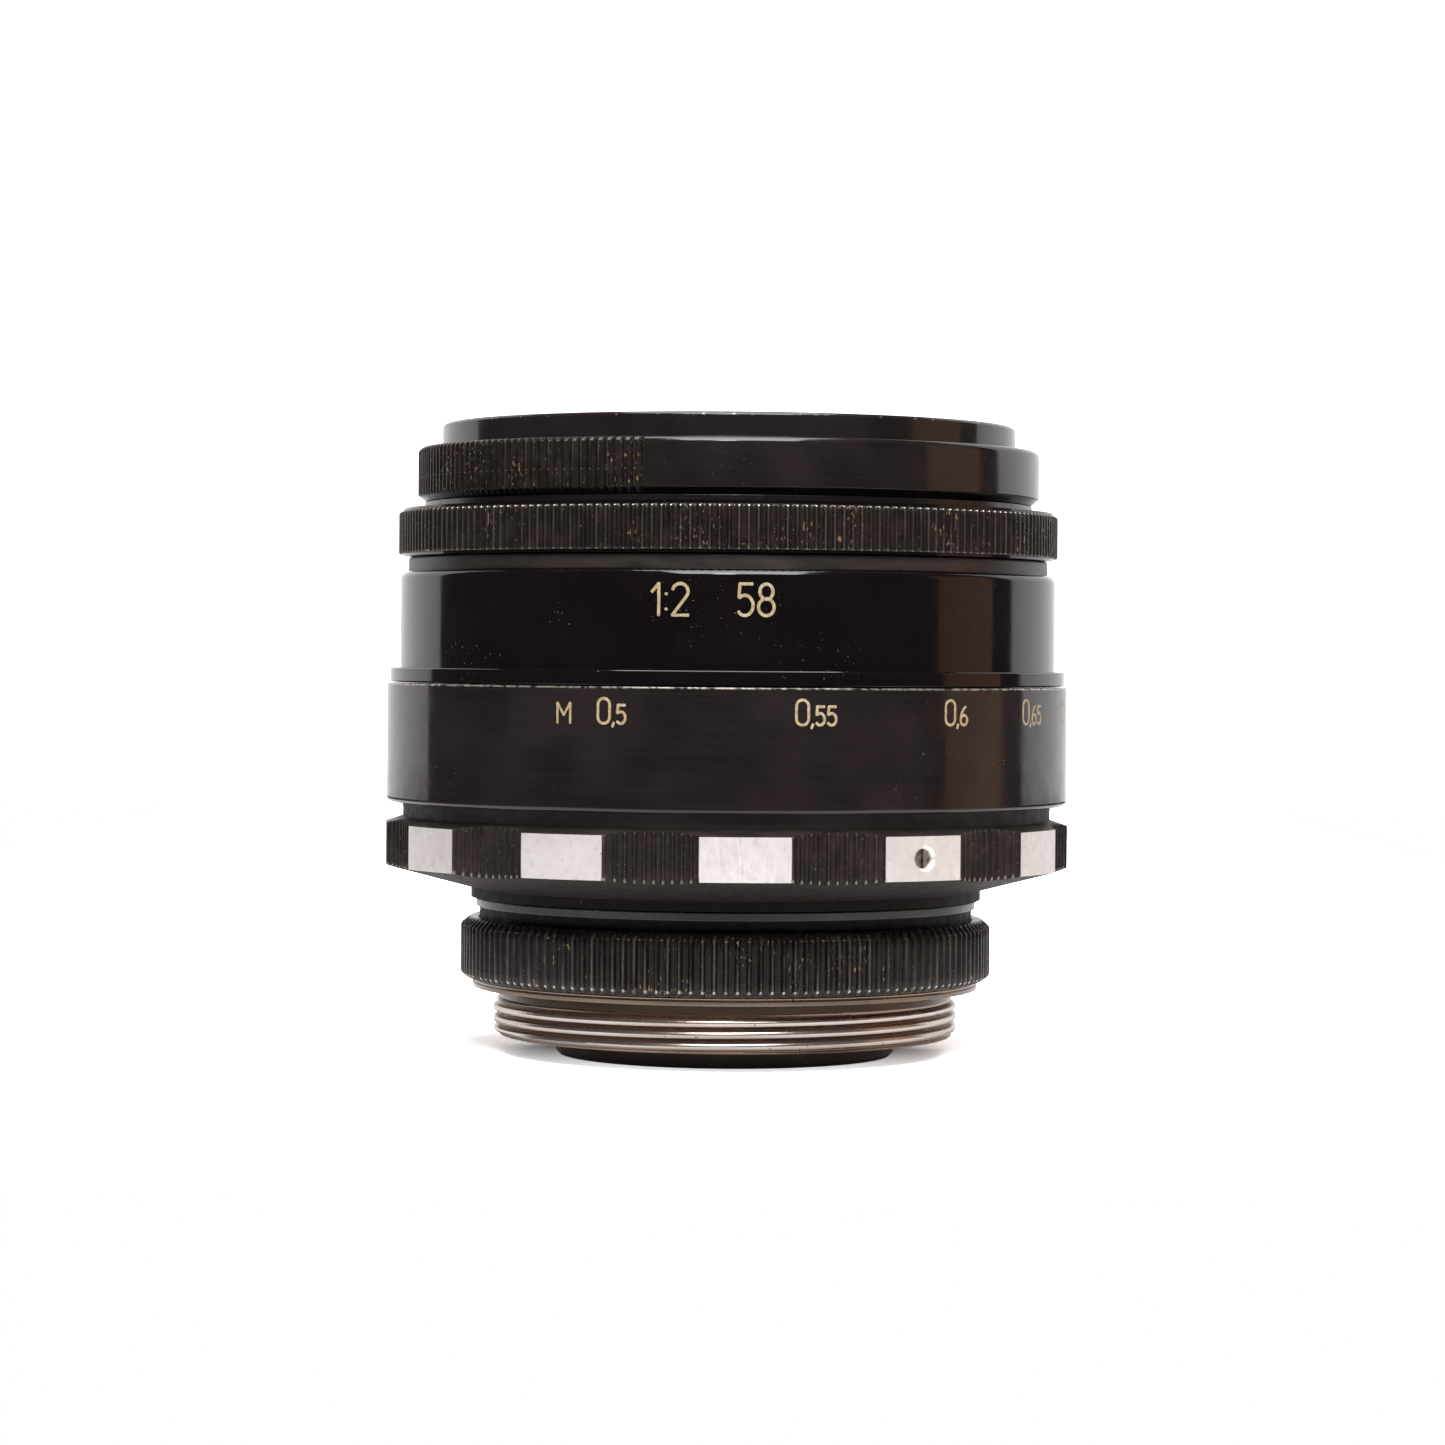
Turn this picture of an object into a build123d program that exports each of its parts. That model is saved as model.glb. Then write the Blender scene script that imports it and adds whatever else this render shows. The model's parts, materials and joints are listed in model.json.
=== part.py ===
from build123d import *
from math import asin, atan2, cos, degrees, hypot, radians, sin, sqrt
import os

# A 58 mm f/2 screw-mount lens with a preset iris, standing on its rear end at infinity focus.
# Z is the optical axis and points to the front, -Y faces the person who reads it, and Z = 0 is
# the rear face of the rear cell. All sizes are millimetres.

# ------------------------------------------------------------------ clearances
RUN = 0.06  # radial clearance of a turned running fit
AXIAL = 0.05  # end float of a ring between its shoulders
FREE = 0.3  # clearance where pieces only pass each other
LENS_CLEARANCE = 0.05

# ------------------------------------------------------------------ radii, from the mount's thread inwards
THREAD_R = 21.0  # M42 x 1
THREAD_STEP = 0.64
GUIDE_BORE_R = THREAD_R - THREAD_STEP
HEAD_R = GUIDE_BORE_R - RUN
HEAD_WALL = 1.1
HEAD_BORE_R = HEAD_R - HEAD_WALL
CAM_SLEEVE_R = HEAD_BORE_R - RUN
CAM_SLEEVE_WALL = 1.14
CAM_SLEEVE_BORE_R = CAM_SLEEVE_R - CAM_SLEEVE_WALL

FRONT_CELL_R = CAM_SLEEVE_BORE_R - FREE
FRONT_CELL_WALL = 1.15
FRONT_BORE_R = FRONT_CELL_R - FRONT_CELL_WALL
FRONT_CELL_STEP = 1.5
SECOND_BORE_R = FRONT_BORE_R - FRONT_CELL_STEP
MIDDLE_BORE_R = SECOND_BORE_R - FRONT_CELL_STEP

CAM_RING_WIDTH = 4.8
CAM_BORE_R = CAM_SLEEVE_BORE_R - CAM_RING_WIDTH
REAR_CELL_SHOULDER = 0.6
REAR_CELL_SHOULDER_R = CAM_BORE_R - FREE
REAR_CELL_NOSE_R = REAR_CELL_SHOULDER_R - REAR_CELL_SHOULDER
REAR_CELL_NOSE_WALL = 1.25
DOUBLET_BORE_R = REAR_CELL_NOSE_R - REAR_CELL_NOSE_WALL
REAR_CELL_THREAD_WALL = 1.3
HEAD_WEB_BORE_R = REAR_CELL_NOSE_R + REAR_CELL_THREAD_WALL
REAR_CELL_STEP = 2.2
REAR_BORE_R = DOUBLET_BORE_R + REAR_CELL_STEP
REAR_CELL_WALL = 2.05
REAR_CELL_R = REAR_BORE_R + REAR_CELL_WALL
REAR_CELL_FLANGE = 2.2
REAR_CELL_FLANGE_R = REAR_CELL_R + REAR_CELL_FLANGE

# ------------------------------------------------------------------ lenses
# Radii of curvature: positive bulges to the front, negative bulges to the rear.
REAR_VERTEX_Z = 0.6
REAR_LENS = {"radius": REAR_BORE_R - LENS_CLEARANCE, "height": 4.2, "rear": -58.0, "front": 160.0}
REAR_AIR = 0.4
DOUBLET_R = DOUBLET_BORE_R - LENS_CLEARANCE
FIFTH_LENS = {"radius": DOUBLET_R, "height": 8.0, "rear": -25.0, "front": 95.0}
FOURTH_LENS = {"radius": DOUBLET_R, "height": 2.2, "rear": 95.0, "front": -17.5}
IRIS_AIR = 13.7
THIRD_LENS = {"radius": MIDDLE_BORE_R - LENS_CLEARANCE, "height": 2.2, "rear": 15.2, "front": 130.0}
THIRD_LENS_RIM = 2.3
THIRD_LENS_DISH_R = THIRD_LENS["radius"] - THIRD_LENS_RIM
SECOND_LENS = {"radius": SECOND_BORE_R - LENS_CLEARANCE, "height": 8.3, "rear": 130.0, "front": 23.5}
FRONT_AIR = 0.6
FRONT_LENS = {"radius": FRONT_BORE_R - LENS_CLEARANCE, "height": 5.5, "rear": 150.0, "front": 38.0}

REAR_LENS_TOP_Z = REAR_VERTEX_Z + REAR_LENS["height"]
FIFTH_LENS_Z = REAR_LENS_TOP_Z + REAR_AIR
FOURTH_LENS_Z = FIFTH_LENS_Z + FIFTH_LENS["height"]
FOURTH_LENS_TOP_Z = FOURTH_LENS_Z + FOURTH_LENS["height"]
THIRD_LENS_Z = FOURTH_LENS_TOP_Z + IRIS_AIR
SECOND_LENS_Z = THIRD_LENS_Z + THIRD_LENS["height"]
SECOND_LENS_TOP_Z = SECOND_LENS_Z + SECOND_LENS["height"]
FRONT_LENS_Z = SECOND_LENS_TOP_Z + FRONT_AIR
FRONT_VERTEX_Z = FRONT_LENS_Z + FRONT_LENS["height"]

# ------------------------------------------------------------------ radii, from the guide barrel outwards
GUIDE_WALL = 2.29
GUIDE_THREAD_R = GUIDE_BORE_R + GUIDE_WALL  # crests of the focusing thread
SLEEVE_BORE_R = GUIDE_THREAD_R + RUN
SLEEVE_WALL = 3.29
SLEEVE_R = SLEEVE_BORE_R + SLEEVE_WALL
FRONT_CELL_FLANGE = 4.6
FRONT_CELL_FLANGE_R = FRONT_CELL_R + FRONT_CELL_FLANGE
BODY_BOSS_R = FRONT_CELL_FLANGE_R + FREE / 3
NAME_RING_SEAT = 1.94
FILTER_THREAD_R = BODY_BOSS_R + NAME_RING_SEAT  # pitch radius of M49 x 0.5
FILTER_WALL = 0.9
NAME_RING_GROOVE = 0.25
NAME_RING_R = FILTER_THREAD_R + NAME_RING_GROOVE
BODY_TOP_R = FILTER_THREAD_R + FILTER_WALL
BODY_STEP = 0.7
BODY_R = BODY_TOP_R + BODY_STEP
BODY_WALL = 1.34
BODY_BORE_R = BODY_R - BODY_WALL
SPACER_WALL = 2.21
SPACER_R = BODY_TOP_R + SPACER_WALL
PRESET_RISE = 0.65
PRESET_R = SPACER_R + PRESET_RISE
APERTURE_WALL = 3.8
APERTURE_R = BODY_R + RUN + APERTURE_WALL
BARREL_SINK = 0.2
BARREL_R = APERTURE_R - BARREL_SINK
BARREL_NECK_SINK = 0.7
BARREL_NECK_R = BARREL_R - BARREL_NECK_SINK
BARREL_WALL = 1.7
BARREL_BORE_R = BARREL_R - BARREL_WALL
LIP_RISE = 0.91
LIP_R = BARREL_R + LIP_RISE
SCALE_RISE = 1.15
SCALE_R = BARREL_R + SCALE_RISE
GRIP_RISE = 0.15
GRIP_R = SCALE_R + GRIP_RISE
GRIP_NECK_SINK = 1.6
GRIP_NECK_R = GRIP_R - GRIP_NECK_SINK
GRIP_NOSE_RISE = 0.45
GRIP_NOSE_R = GUIDE_THREAD_R + GRIP_NOSE_RISE

GUIDE_LINE_DEPTH = 0.35
MOUNT_FOOT_R = GUIDE_THREAD_R - GUIDE_LINE_DEPTH
MOUNT_WALL = 1.7
MOUNT_GRIP_R = MOUNT_FOOT_R + MOUNT_WALL
MOUNT_TOP_BEVEL = 0.8
MOUNT_TOP_R = MOUNT_GRIP_R - MOUNT_TOP_BEVEL
THREAD_WALL = 2.0
THROAT_R = THREAD_R - THREAD_WALL
RELIEF_DEPTH = 0.5
RELIEF_R = THREAD_R - RELIEF_DEPTH
SEAT_WIDTH = 2.4
SEAT_RIM_R = RELIEF_R + SEAT_WIDTH
SEAT_GROOVE_DEPTH = 0.25
SEAT_GROOVE_R = THREAD_R + FREE

# ------------------------------------------------------------------ mount, from the thread up
REAR_REACH = 1.8  # thread end above the rear face
THREAD_CHAMFER = 0.5
THREAD_LENGTH = 3.4
RELIEF_LENGTH = 0.9
SEAT_RIM_HEIGHT = 0.65
MOUNT_GRIP_BEVEL = 0.4
MOUNT_GRIP_HEIGHT = 4.6
MOUNT_TOP_CHAMFER = 0.65
MOUNT_FOOT_DEPTH = 5.2
THREAD_END_Z = REAR_REACH
SEAT_Z = THREAD_END_Z + THREAD_LENGTH + RELIEF_LENGTH
MOUNT_GRIP_Z = SEAT_Z + SEAT_RIM_HEIGHT + MOUNT_GRIP_BEVEL
MOUNT_TOP_Z = MOUNT_GRIP_Z + MOUNT_GRIP_HEIGHT + MOUNT_TOP_CHAMFER
MOUNT_FOOT_Z = MOUNT_TOP_Z - MOUNT_FOOT_DEPTH
MOUNT_SCREWS = 3
MOUNT_SCREW_R = 0.5
MOUNT_SCREW_HEAD_R = 0.8
MOUNT_SCREW_CIRCLE_R = (GUIDE_BORE_R + MOUNT_FOOT_R) / 2
MOUNT_SCREW_LENGTH = 3.6
MOUNT_SCREW_AZIMUTH = 90.0

# ------------------------------------------------------------------ focusing
FOCUS_TRAVEL = 9.02
FOCUS_TURN = 270.0
GUIDE_LINE_HEIGHT = 0.55
GUIDE_BAND_HEIGHT = 0.85
GUIDE_GROOVE_HEIGHT = 0.4
GUIDE_ENGAGEMENT = 7.0  # thread still in the sleeve at the nearest focus
GRIP_CONE_HEIGHT = 2.93
GRIP_LAND_HEIGHT = 3.81
GRIP_SHOULDER_HEIGHT = 0.54
GRIP_NECK_HEIGHT = 1.35
GRIP_FLOOR = 2.2  # depth of the web under the focusing sleeve
SCALLOPS = 12
SCALLOP_ANGLE = 15.5
SCALLOP_DEPTH = 0.9
SCALLOP_AZIMUTH = -72.0  # centre of one scallop, seen from the front, 0 = +X
GRIP_SCREWS = 3
GRIP_SCREW_R = 0.85
GRIP_SCREW_SINK = 0.45
GRIP_SCREW_AZIMUTH = -57.0
GRUB_SLOT_DEPTH = 0.4
SLEEVE_FLANGE_HEIGHT = 1.5
SCALE_HEIGHT = 10.6
SCALE_EDGE = 0.3
SCALE_SHELL = 1.9
SCALE_WEB = 1.6
SCALE_GAP = 0.1
GUIDE_BAND_Z = MOUNT_TOP_Z + GUIDE_LINE_HEIGHT
GUIDE_GROOVE_Z = GUIDE_BAND_Z + GUIDE_BAND_HEIGHT
GRIP_Z = GUIDE_GROOVE_Z + GUIDE_GROOVE_HEIGHT
GUIDE_TOP_Z = GRIP_Z + FOCUS_TRAVEL + GUIDE_ENGAGEMENT
GRIP_LAND_Z = GRIP_Z + GRIP_CONE_HEIGHT
GRIP_SHOULDER_Z = GRIP_LAND_Z + GRIP_LAND_HEIGHT
GRIP_NECK_Z = GRIP_SHOULDER_Z + GRIP_SHOULDER_HEIGHT
SCALE_Z = GRIP_NECK_Z + GRIP_NECK_HEIGHT
SCALE_TOP_Z = SCALE_Z + SCALE_HEIGHT
SLEEVE_Z = GRIP_Z + GRIP_FLOOR
SLEEVE_FLANGE_Z = SCALE_TOP_Z - SLEEVE_FLANGE_HEIGHT

# ------------------------------------------------------------------ moving head
LIP_HEIGHT = 1.3
SPIGOT_HEIGHT = 3.3
SPIGOT_WALL = 1.5
HEAD_SKIRT = 6.0  # from the web down
HEAD_WEB_DROP = 0.4
HEAD_WEB_HEIGHT = 2.2
KEEPER_HEIGHT = 1.3
KEEPER_SINK = 0.25
KEEPER_R = GUIDE_THREAD_R - KEEPER_SINK
BARREL_HEIGHT = 8.22
BARREL_CHAMFER = 0.4
BARREL_NECK_HEIGHT = 1.25
BARREL_WEB = 3.45
LIP_Z = SCALE_TOP_Z + SCALE_GAP
LIP_TOP_Z = LIP_Z + LIP_HEIGHT
HEAD_WEB_Z = FOURTH_LENS_TOP_Z - HEAD_WEB_DROP
HEAD_WEB_TOP_Z = HEAD_WEB_Z + HEAD_WEB_HEIGHT
KEEPER_Z = SLEEVE_FLANGE_Z - SCALE_GAP - KEEPER_HEIGHT
BARREL_CHAMFER_Z = LIP_TOP_Z + BARREL_HEIGHT
BARREL_TOP_Z = BARREL_CHAMFER_Z + BARREL_CHAMFER + BARREL_NECK_HEIGHT
KEYS = 2
KEY_WIDTH = 4.0
KEY_LENGTH = 8.0
KEY_RISE = 3.0
KEY_Z = GRIP_Z + KEY_RISE
KEY_AZIMUTH = 0.0
KEY_SEAT = 0.25
KEY_SEAT_R = HEAD_R - KEY_SEAT
KEY_FACE_R = GUIDE_THREAD_R - FREE / 2
KEY_SCREW_R = 0.55
KEY_SCREW_HEAD_R = 1.0
KEY_SCREW_HEAD = 0.6
KEY_SCREW_SPACING = 4.2
STOP_SCREW_R = 0.6
STOP_SCREW_HEAD_R = 1.1
STOP_SCREW_HEAD = 0.7
STOP_CIRCLE_R = (HEAD_R + SLEEVE_R) / 2
STOP_DEPTH = 0.8
STOP_AZIMUTH = 60.0

# ------------------------------------------------------------------ iris rings and front
APERTURE_HEIGHT = 4.3
APERTURE_EDGE = 0.3
APERTURE_TURN = 54.0
SPACER_HEIGHT = 0.6
PRESET_HEIGHT = 4.85
PRESET_EDGE = 0.5
PRESET_FOOT = 0.55
PRESET_STEP_RISE = 3.6
STOPS = 7  # f-numbers on the preset ring
BODY_SHOULDER = 1.55  # from the top of the wide bore to the seat of the spacer
BODY_FLANGE_HEIGHT = 1.6
BODY_BOSS_HEIGHT = 3.1
BODY_RIM_HEIGHT = 2.7
FILTER_THREAD_DEPTH = 1.8
FILTER_EDGE = 0.2
APERTURE_Z = BARREL_TOP_Z + AXIAL
APERTURE_TOP_Z = APERTURE_Z + APERTURE_HEIGHT
SPACER_Z = APERTURE_TOP_Z + AXIAL
PRESET_Z = SPACER_Z + SPACER_HEIGHT + AXIAL
PRESET_STEP_Z = PRESET_Z + PRESET_STEP_RISE
PRESET_TOP_Z = PRESET_Z + PRESET_HEIGHT
FILTER_RING_Z = PRESET_STEP_Z + 2 * AXIAL
BODY_Z = BARREL_TOP_Z - BARREL_WEB
BODY_BORE_TOP_Z = SPACER_Z - BODY_SHOULDER
BODY_FLANGE_TOP_Z = BODY_BORE_TOP_Z + BODY_FLANGE_HEIGHT
BODY_BOSS_TOP_Z = BODY_FLANGE_TOP_Z + BODY_BOSS_HEIGHT
BODY_TOP_Z = BODY_BOSS_TOP_Z + BODY_RIM_HEIGHT
FRONT_Z = BODY_TOP_Z + FILTER_THREAD_DEPTH
NAME_RING_BORE_GAP = 0.4
NAME_RING_BORE_R = FRONT_CELL_R - NAME_RING_BORE_GAP
NAME_RING_EDGE = 1.1
NAME_RING_LIP = 0.65
DRIVE_SCREW_R = 0.7
DRIVE_AZIMUTH = 90.0
DRIVE_RECESS = 0.6
DRIVE_BITE = 2.0
CLICK_AZIMUTH = 40.0
CLICK_RISE = 1.6
CLICK_FLOOR = 0.4
CLICK_BALL_R = 0.75
CLICK_PIT_R = 0.5
CLICK_WIRE_R = 0.11
CLICK_SPRING_TURNS = 3
CLICK_Z = PRESET_Z + CLICK_RISE
CLICK_FLOOR_R = BODY_BOSS_R + CLICK_FLOOR
CLICK_BALL_CENTRE_R = BODY_TOP_R - CLICK_BALL_R - RUN

# ------------------------------------------------------------------ iris
LEAVES = 8
LEAF_MARGIN = 0.7
LEAF_OUTER_R = CAM_SLEEVE_BORE_R - LEAF_MARGIN
LEAF_WIDTH = 6.0
LEAF_INNER_R = LEAF_OUTER_R - LEAF_WIDTH
LEAF_ANGLE = 90.0
LEAF_TAIL = 4.0
LEAF_CORNER_R = 1.0
LEAF_THICKNESS = 0.06
LEAF_SLOPE = 0.12  # rise per millimetre, so that each leaf laps over the next
LEAF_SLOPE_AZIMUTH = 150.0
LEAF_TURN = 36.0
LEAF_LIFT = 0.3
PIVOT_INSET = 0.9
PIVOT_R = LEAF_OUTER_R - PIVOT_INSET
PIN_R = 0.4
PIN_CLEARANCE = 0.04
ARC_CLEARANCE = 0.1
DRIVE_ARM = 4.0
CAM_HEIGHT = 1.2
PIVOT_PLATE_R = CAM_SLEEVE_BORE_R - 2 * RUN
PIVOT_PLATE_HEIGHT = 1.0
CAM_FLANGE_HEIGHT = 2.0
CAM_Z = HEAD_WEB_TOP_Z + AXIAL
CAM_TOP_Z = CAM_Z + CAM_HEIGHT
PLATE_Z = CAM_TOP_Z + 3 * AXIAL
PLATE_TOP_Z = PLATE_Z + PIVOT_PLATE_HEIGHT
LEAF_Z = PLATE_TOP_Z + LEAF_LIFT
CAM_FLANGE_R = BODY_BORE_R - RUN
CAM_FLANGE_TOP_Z = BODY_BORE_TOP_Z - 4 * AXIAL
CAM_FLANGE_Z = CAM_FLANGE_TOP_Z - CAM_FLANGE_HEIGHT
DRIVE_Z = (CAM_FLANGE_Z + CAM_FLANGE_TOP_Z) / 2

# ------------------------------------------------------------------ cells and retainers
RETAINER_HEIGHT = 1.5
RETAINER_SLOT = 1.2
RETAINER_SLOT_DEPTH = 0.6
REAR_CELL_EDGE = 0.3
REAR_CELL_FLANGE_HEIGHT = 1.6
REAR_CELL_LIP = 0.5
REAR_RETAINER_WALL = 1.25
REAR_RETAINER_BORE_R = REAR_BORE_R - REAR_RETAINER_WALL
REAR_SPACER_NOSE = 0.6
REAR_SPACER_BORE_R = DOUBLET_R - REAR_SPACER_NOSE
REAR_SHOULDER = 1.8
DOUBLET_SHOULDER_Z = FIFTH_LENS_Z + REAR_SHOULDER
FRONT_CELL_FLANGE_HEIGHT = 1.0
FRONT_CELL_TOP_Z = BODY_FLANGE_TOP_Z + FRONT_CELL_FLANGE_HEIGHT
FRONT_CELL_FOOT = 0.7
FRONT_CELL_BEVEL = 1.5
MIDDLE_RETAINER_WALL = 1.15
MIDDLE_RETAINER_BORE_R = SECOND_BORE_R - MIDDLE_RETAINER_WALL
FRONT_RETAINER_WALL = 1.15
FRONT_RETAINER_BORE_R = FRONT_BORE_R - FRONT_RETAINER_WALL


# ------------------------------------------------------------------ helpers
def turned(*corners):
    """A solid of revolution about Z from its half section, given as (radius, height) corners."""
    section = Plane.XZ * make_face(Polyline(*corners, close=True))
    return revolve(section, Axis.Z)


def tube(outer, inner, bottom, top):
    return turned((inner, bottom), (outer, bottom), (outer, top), (inner, top))


def surface_z(vertex, curve, radius):
    """Height of a spherical surface at a distance from the axis."""
    sag = abs(curve) - sqrt(curve**2 - radius**2)
    return vertex - sag if curve > 0 else vertex + sag


def around(shape, count, azimuth=0.0):
    """Copies of a shape that lies along +X, spaced evenly about Z."""
    return [Rot(Z=azimuth + 360 * i / count) * shape for i in range(count)]


def radial(azimuth, radius, height):
    """A place whose local Z points out from the axis."""
    return Rot(Z=azimuth) * Pos(radius, 0, height) * Rot(Y=90)


def rod(radius, length):
    """A cylinder from the local origin down its -Z."""
    return Pos(0, 0, -length / 2) * Cylinder(radius, length)


def slotted(head_r, depth):
    """A screwdriver slot cut across the top of a head that ends at local Z = 0."""
    return Pos(0, 0, -depth / 2) * Box(3 * head_r, head_r * 0.3, depth)


def cheese_screw(shank_r, shank, head_r, head):
    """A cylinder-head screw with the underside of its head at local Z = 0."""
    body = rod(shank_r, shank) + Pos(0, 0, head / 2) * Cylinder(head_r, head)
    return body - Pos(0, 0, head) * slotted(head_r, head * 0.5)


def countersunk_screw(shank_r, length, head_r):
    """A countersunk screw whose flat head ends at local Z = 0."""
    cone = Pos(0, 0, -(head_r - shank_r) / 2) * Rot(X=180) * Cone(head_r, shank_r, head_r - shank_r)
    return rod(shank_r, length) + cone - slotted(head_r, 0.3)


def countersunk_hole(shank_r, length, head_r, sink):
    cone = Pos(0, 0, -(head_r - shank_r) / 2) * Rot(X=180) * Cone(head_r, shank_r, head_r - shank_r)
    return rod(shank_r, length) + cone + Pos(0, 0, sink) * rod(head_r, sink)


def spanner_slots(ring, inner, outer, top, depth):
    """Two slots across a retaining ring, for the tool that screws it home."""
    middle = (inner + outer) / 2
    cutter = Pos(middle, 0, top) * Box(2 * (outer - inner), RETAINER_SLOT, 2 * depth)
    return ring - around(cutter, 2)


# ------------------------------------------------------------------ mount and guide barrel
def mount_screw_places():
    place = Pos(MOUNT_SCREW_CIRCLE_R, 0, SEAT_Z + SEAT_GROOVE_DEPTH) * Rot(X=180)
    return around(place, MOUNT_SCREWS, MOUNT_SCREW_AZIMUTH)


def mount_ring():
    ring = turned(
        (THROAT_R, THREAD_END_Z),
        (THREAD_R - THREAD_CHAMFER, THREAD_END_Z),
        (THREAD_R, THREAD_END_Z + THREAD_CHAMFER),
        (THREAD_R, SEAT_Z - RELIEF_LENGTH),
        (RELIEF_R, SEAT_Z - RELIEF_LENGTH),
        (RELIEF_R, SEAT_Z + SEAT_GROOVE_DEPTH),
        (SEAT_GROOVE_R, SEAT_Z + SEAT_GROOVE_DEPTH),
        (SEAT_GROOVE_R, SEAT_Z),
        (SEAT_RIM_R, SEAT_Z),
        (SEAT_RIM_R, SEAT_Z + SEAT_RIM_HEIGHT),
        (MOUNT_GRIP_R, MOUNT_GRIP_Z),
        (MOUNT_GRIP_R, MOUNT_GRIP_Z + MOUNT_GRIP_HEIGHT),
        (MOUNT_TOP_R, MOUNT_TOP_Z),
        (MOUNT_FOOT_R, MOUNT_TOP_Z),
        (MOUNT_FOOT_R, MOUNT_FOOT_Z),
        (THROAT_R, MOUNT_FOOT_Z),
    )
    hole = countersunk_hole(MOUNT_SCREW_R, MOUNT_SCREW_LENGTH, MOUNT_SCREW_HEAD_R, SEAT_GROOVE_DEPTH)
    return ring - [place * hole for place in mount_screw_places()]


def mount_screws():
    screw = countersunk_screw(MOUNT_SCREW_R, MOUNT_SCREW_LENGTH, MOUNT_SCREW_HEAD_R)
    return Compound(children=[place * screw for place in mount_screw_places()])


def guide_barrel():
    barrel = turned(
        (GUIDE_BORE_R, MOUNT_FOOT_Z),
        (MOUNT_FOOT_R, MOUNT_FOOT_Z),
        (MOUNT_FOOT_R, GUIDE_BAND_Z),
        (GUIDE_THREAD_R, GUIDE_BAND_Z),
        (GUIDE_THREAD_R, GUIDE_GROOVE_Z),
        (MOUNT_FOOT_R, GUIDE_GROOVE_Z),
        (MOUNT_FOOT_R, GRIP_Z),
        (GUIDE_THREAD_R, GRIP_Z),
        (GUIDE_THREAD_R, GUIDE_TOP_Z),
        (GUIDE_BORE_R, GUIDE_TOP_Z),
    )
    slot_bottom = KEY_Z - FREE
    slot_height = GUIDE_TOP_Z - slot_bottom
    slot = Box(4 * GUIDE_WALL, KEY_WIDTH + 2 * RUN, slot_height)
    place = Pos(GUIDE_THREAD_R, 0, slot_bottom + slot_height / 2)
    barrel -= around(place * slot, KEYS, KEY_AZIMUTH)
    hole = rod(MOUNT_SCREW_R, MOUNT_SCREW_LENGTH)
    return barrel - [place * hole for place in mount_screw_places()]


# ------------------------------------------------------------------ focusing ring
def scallop_cutter():
    """A round cutter whose edge leaves the grip at both ends of the scallop's angle."""
    half = radians(SCALLOP_ANGLE / 2)
    half_chord = GRIP_R * sin(half)
    bite = SCALLOP_DEPTH - GRIP_R * (1 - cos(half))
    radius = (half_chord**2 + bite**2) / (2 * bite)
    height = GRIP_NECK_Z - GRIP_Z
    middle = GRIP_Z + height / 2
    return Pos(GRIP_R - SCALLOP_DEPTH + radius, 0, middle) * Cylinder(radius, height)


def grip_screw_places():
    middle = GRIP_LAND_Z + GRIP_LAND_HEIGHT / 2
    return [radial(GRIP_SCREW_AZIMUTH + 360 * i / GRIP_SCREWS, GRIP_R, middle) for i in range(GRIP_SCREWS)]


def grip_screw_reach():
    """From the land to halfway through the wall of the sleeve."""
    return GRIP_R - (SLEEVE_R + SLEEVE_BORE_R) / 2


def focus_grip_ring():
    ring = turned(
        (SLEEVE_BORE_R, GRIP_Z),
        (GRIP_NOSE_R, GRIP_Z),
        (GRIP_R, GRIP_LAND_Z),
        (GRIP_R, GRIP_SHOULDER_Z),
        (GRIP_NECK_R, GRIP_NECK_Z),
        (GRIP_NECK_R, SCALE_Z),
        (SLEEVE_R, SCALE_Z),
        (SLEEVE_R, SLEEVE_Z),
        (SLEEVE_BORE_R, SLEEVE_Z),
    )
    ring -= around(scallop_cutter(), SCALLOPS, SCALLOP_AZIMUTH)
    sink_r = GRIP_SCREW_R + GRIP_SCREW_SINK
    hole = rod(GRIP_SCREW_R, grip_screw_reach())
    sink = Pos(0, 0, -GRIP_SCREW_SINK / 2) * Cone(GRIP_SCREW_R, sink_r, GRIP_SCREW_SINK)
    sink += Pos(0, 0, GRIP_SCREW_SINK) * rod(sink_r, GRIP_SCREW_SINK)
    return ring - [place * (hole + sink) for place in grip_screw_places()]


def grip_screws():
    length = grip_screw_reach() - GRIP_SCREW_SINK
    screw = rod(GRIP_SCREW_R, length) - slotted(GRIP_SCREW_R, GRUB_SLOT_DEPTH)
    return Compound(children=[place * Pos(0, 0, -GRIP_SCREW_SINK) * screw for place in grip_screw_places()])


def focus_stop_groove():
    """An arc that the stop screw of the head runs in, as long as the focusing turn."""
    spread = degrees(asin(RUN / STOP_CIRCLE_R))
    path = CenterArc((0, 0), STOP_CIRCLE_R, STOP_AZIMUTH - FOCUS_TURN - spread, FOCUS_TURN + 2 * spread)
    floor = SCALE_TOP_Z - STOP_DEPTH
    return Pos(0, 0, floor) * extrude(SlotArc(path, 2 * (STOP_SCREW_R + RUN)), STOP_DEPTH)


def focus_sleeve():
    sleeve = turned(
        (SLEEVE_BORE_R, SLEEVE_Z),
        (SLEEVE_R, SLEEVE_Z),
        (SLEEVE_R, SCALE_TOP_Z),
        (HEAD_R + RUN, SCALE_TOP_Z),
        (HEAD_R + RUN, SLEEVE_FLANGE_Z),
        (SLEEVE_BORE_R, SLEEVE_FLANGE_Z),
    )
    sleeve -= focus_stop_groove()
    hole = rod(GRIP_SCREW_R, grip_screw_reach())
    return sleeve - [place * hole for place in grip_screw_places()]


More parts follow.
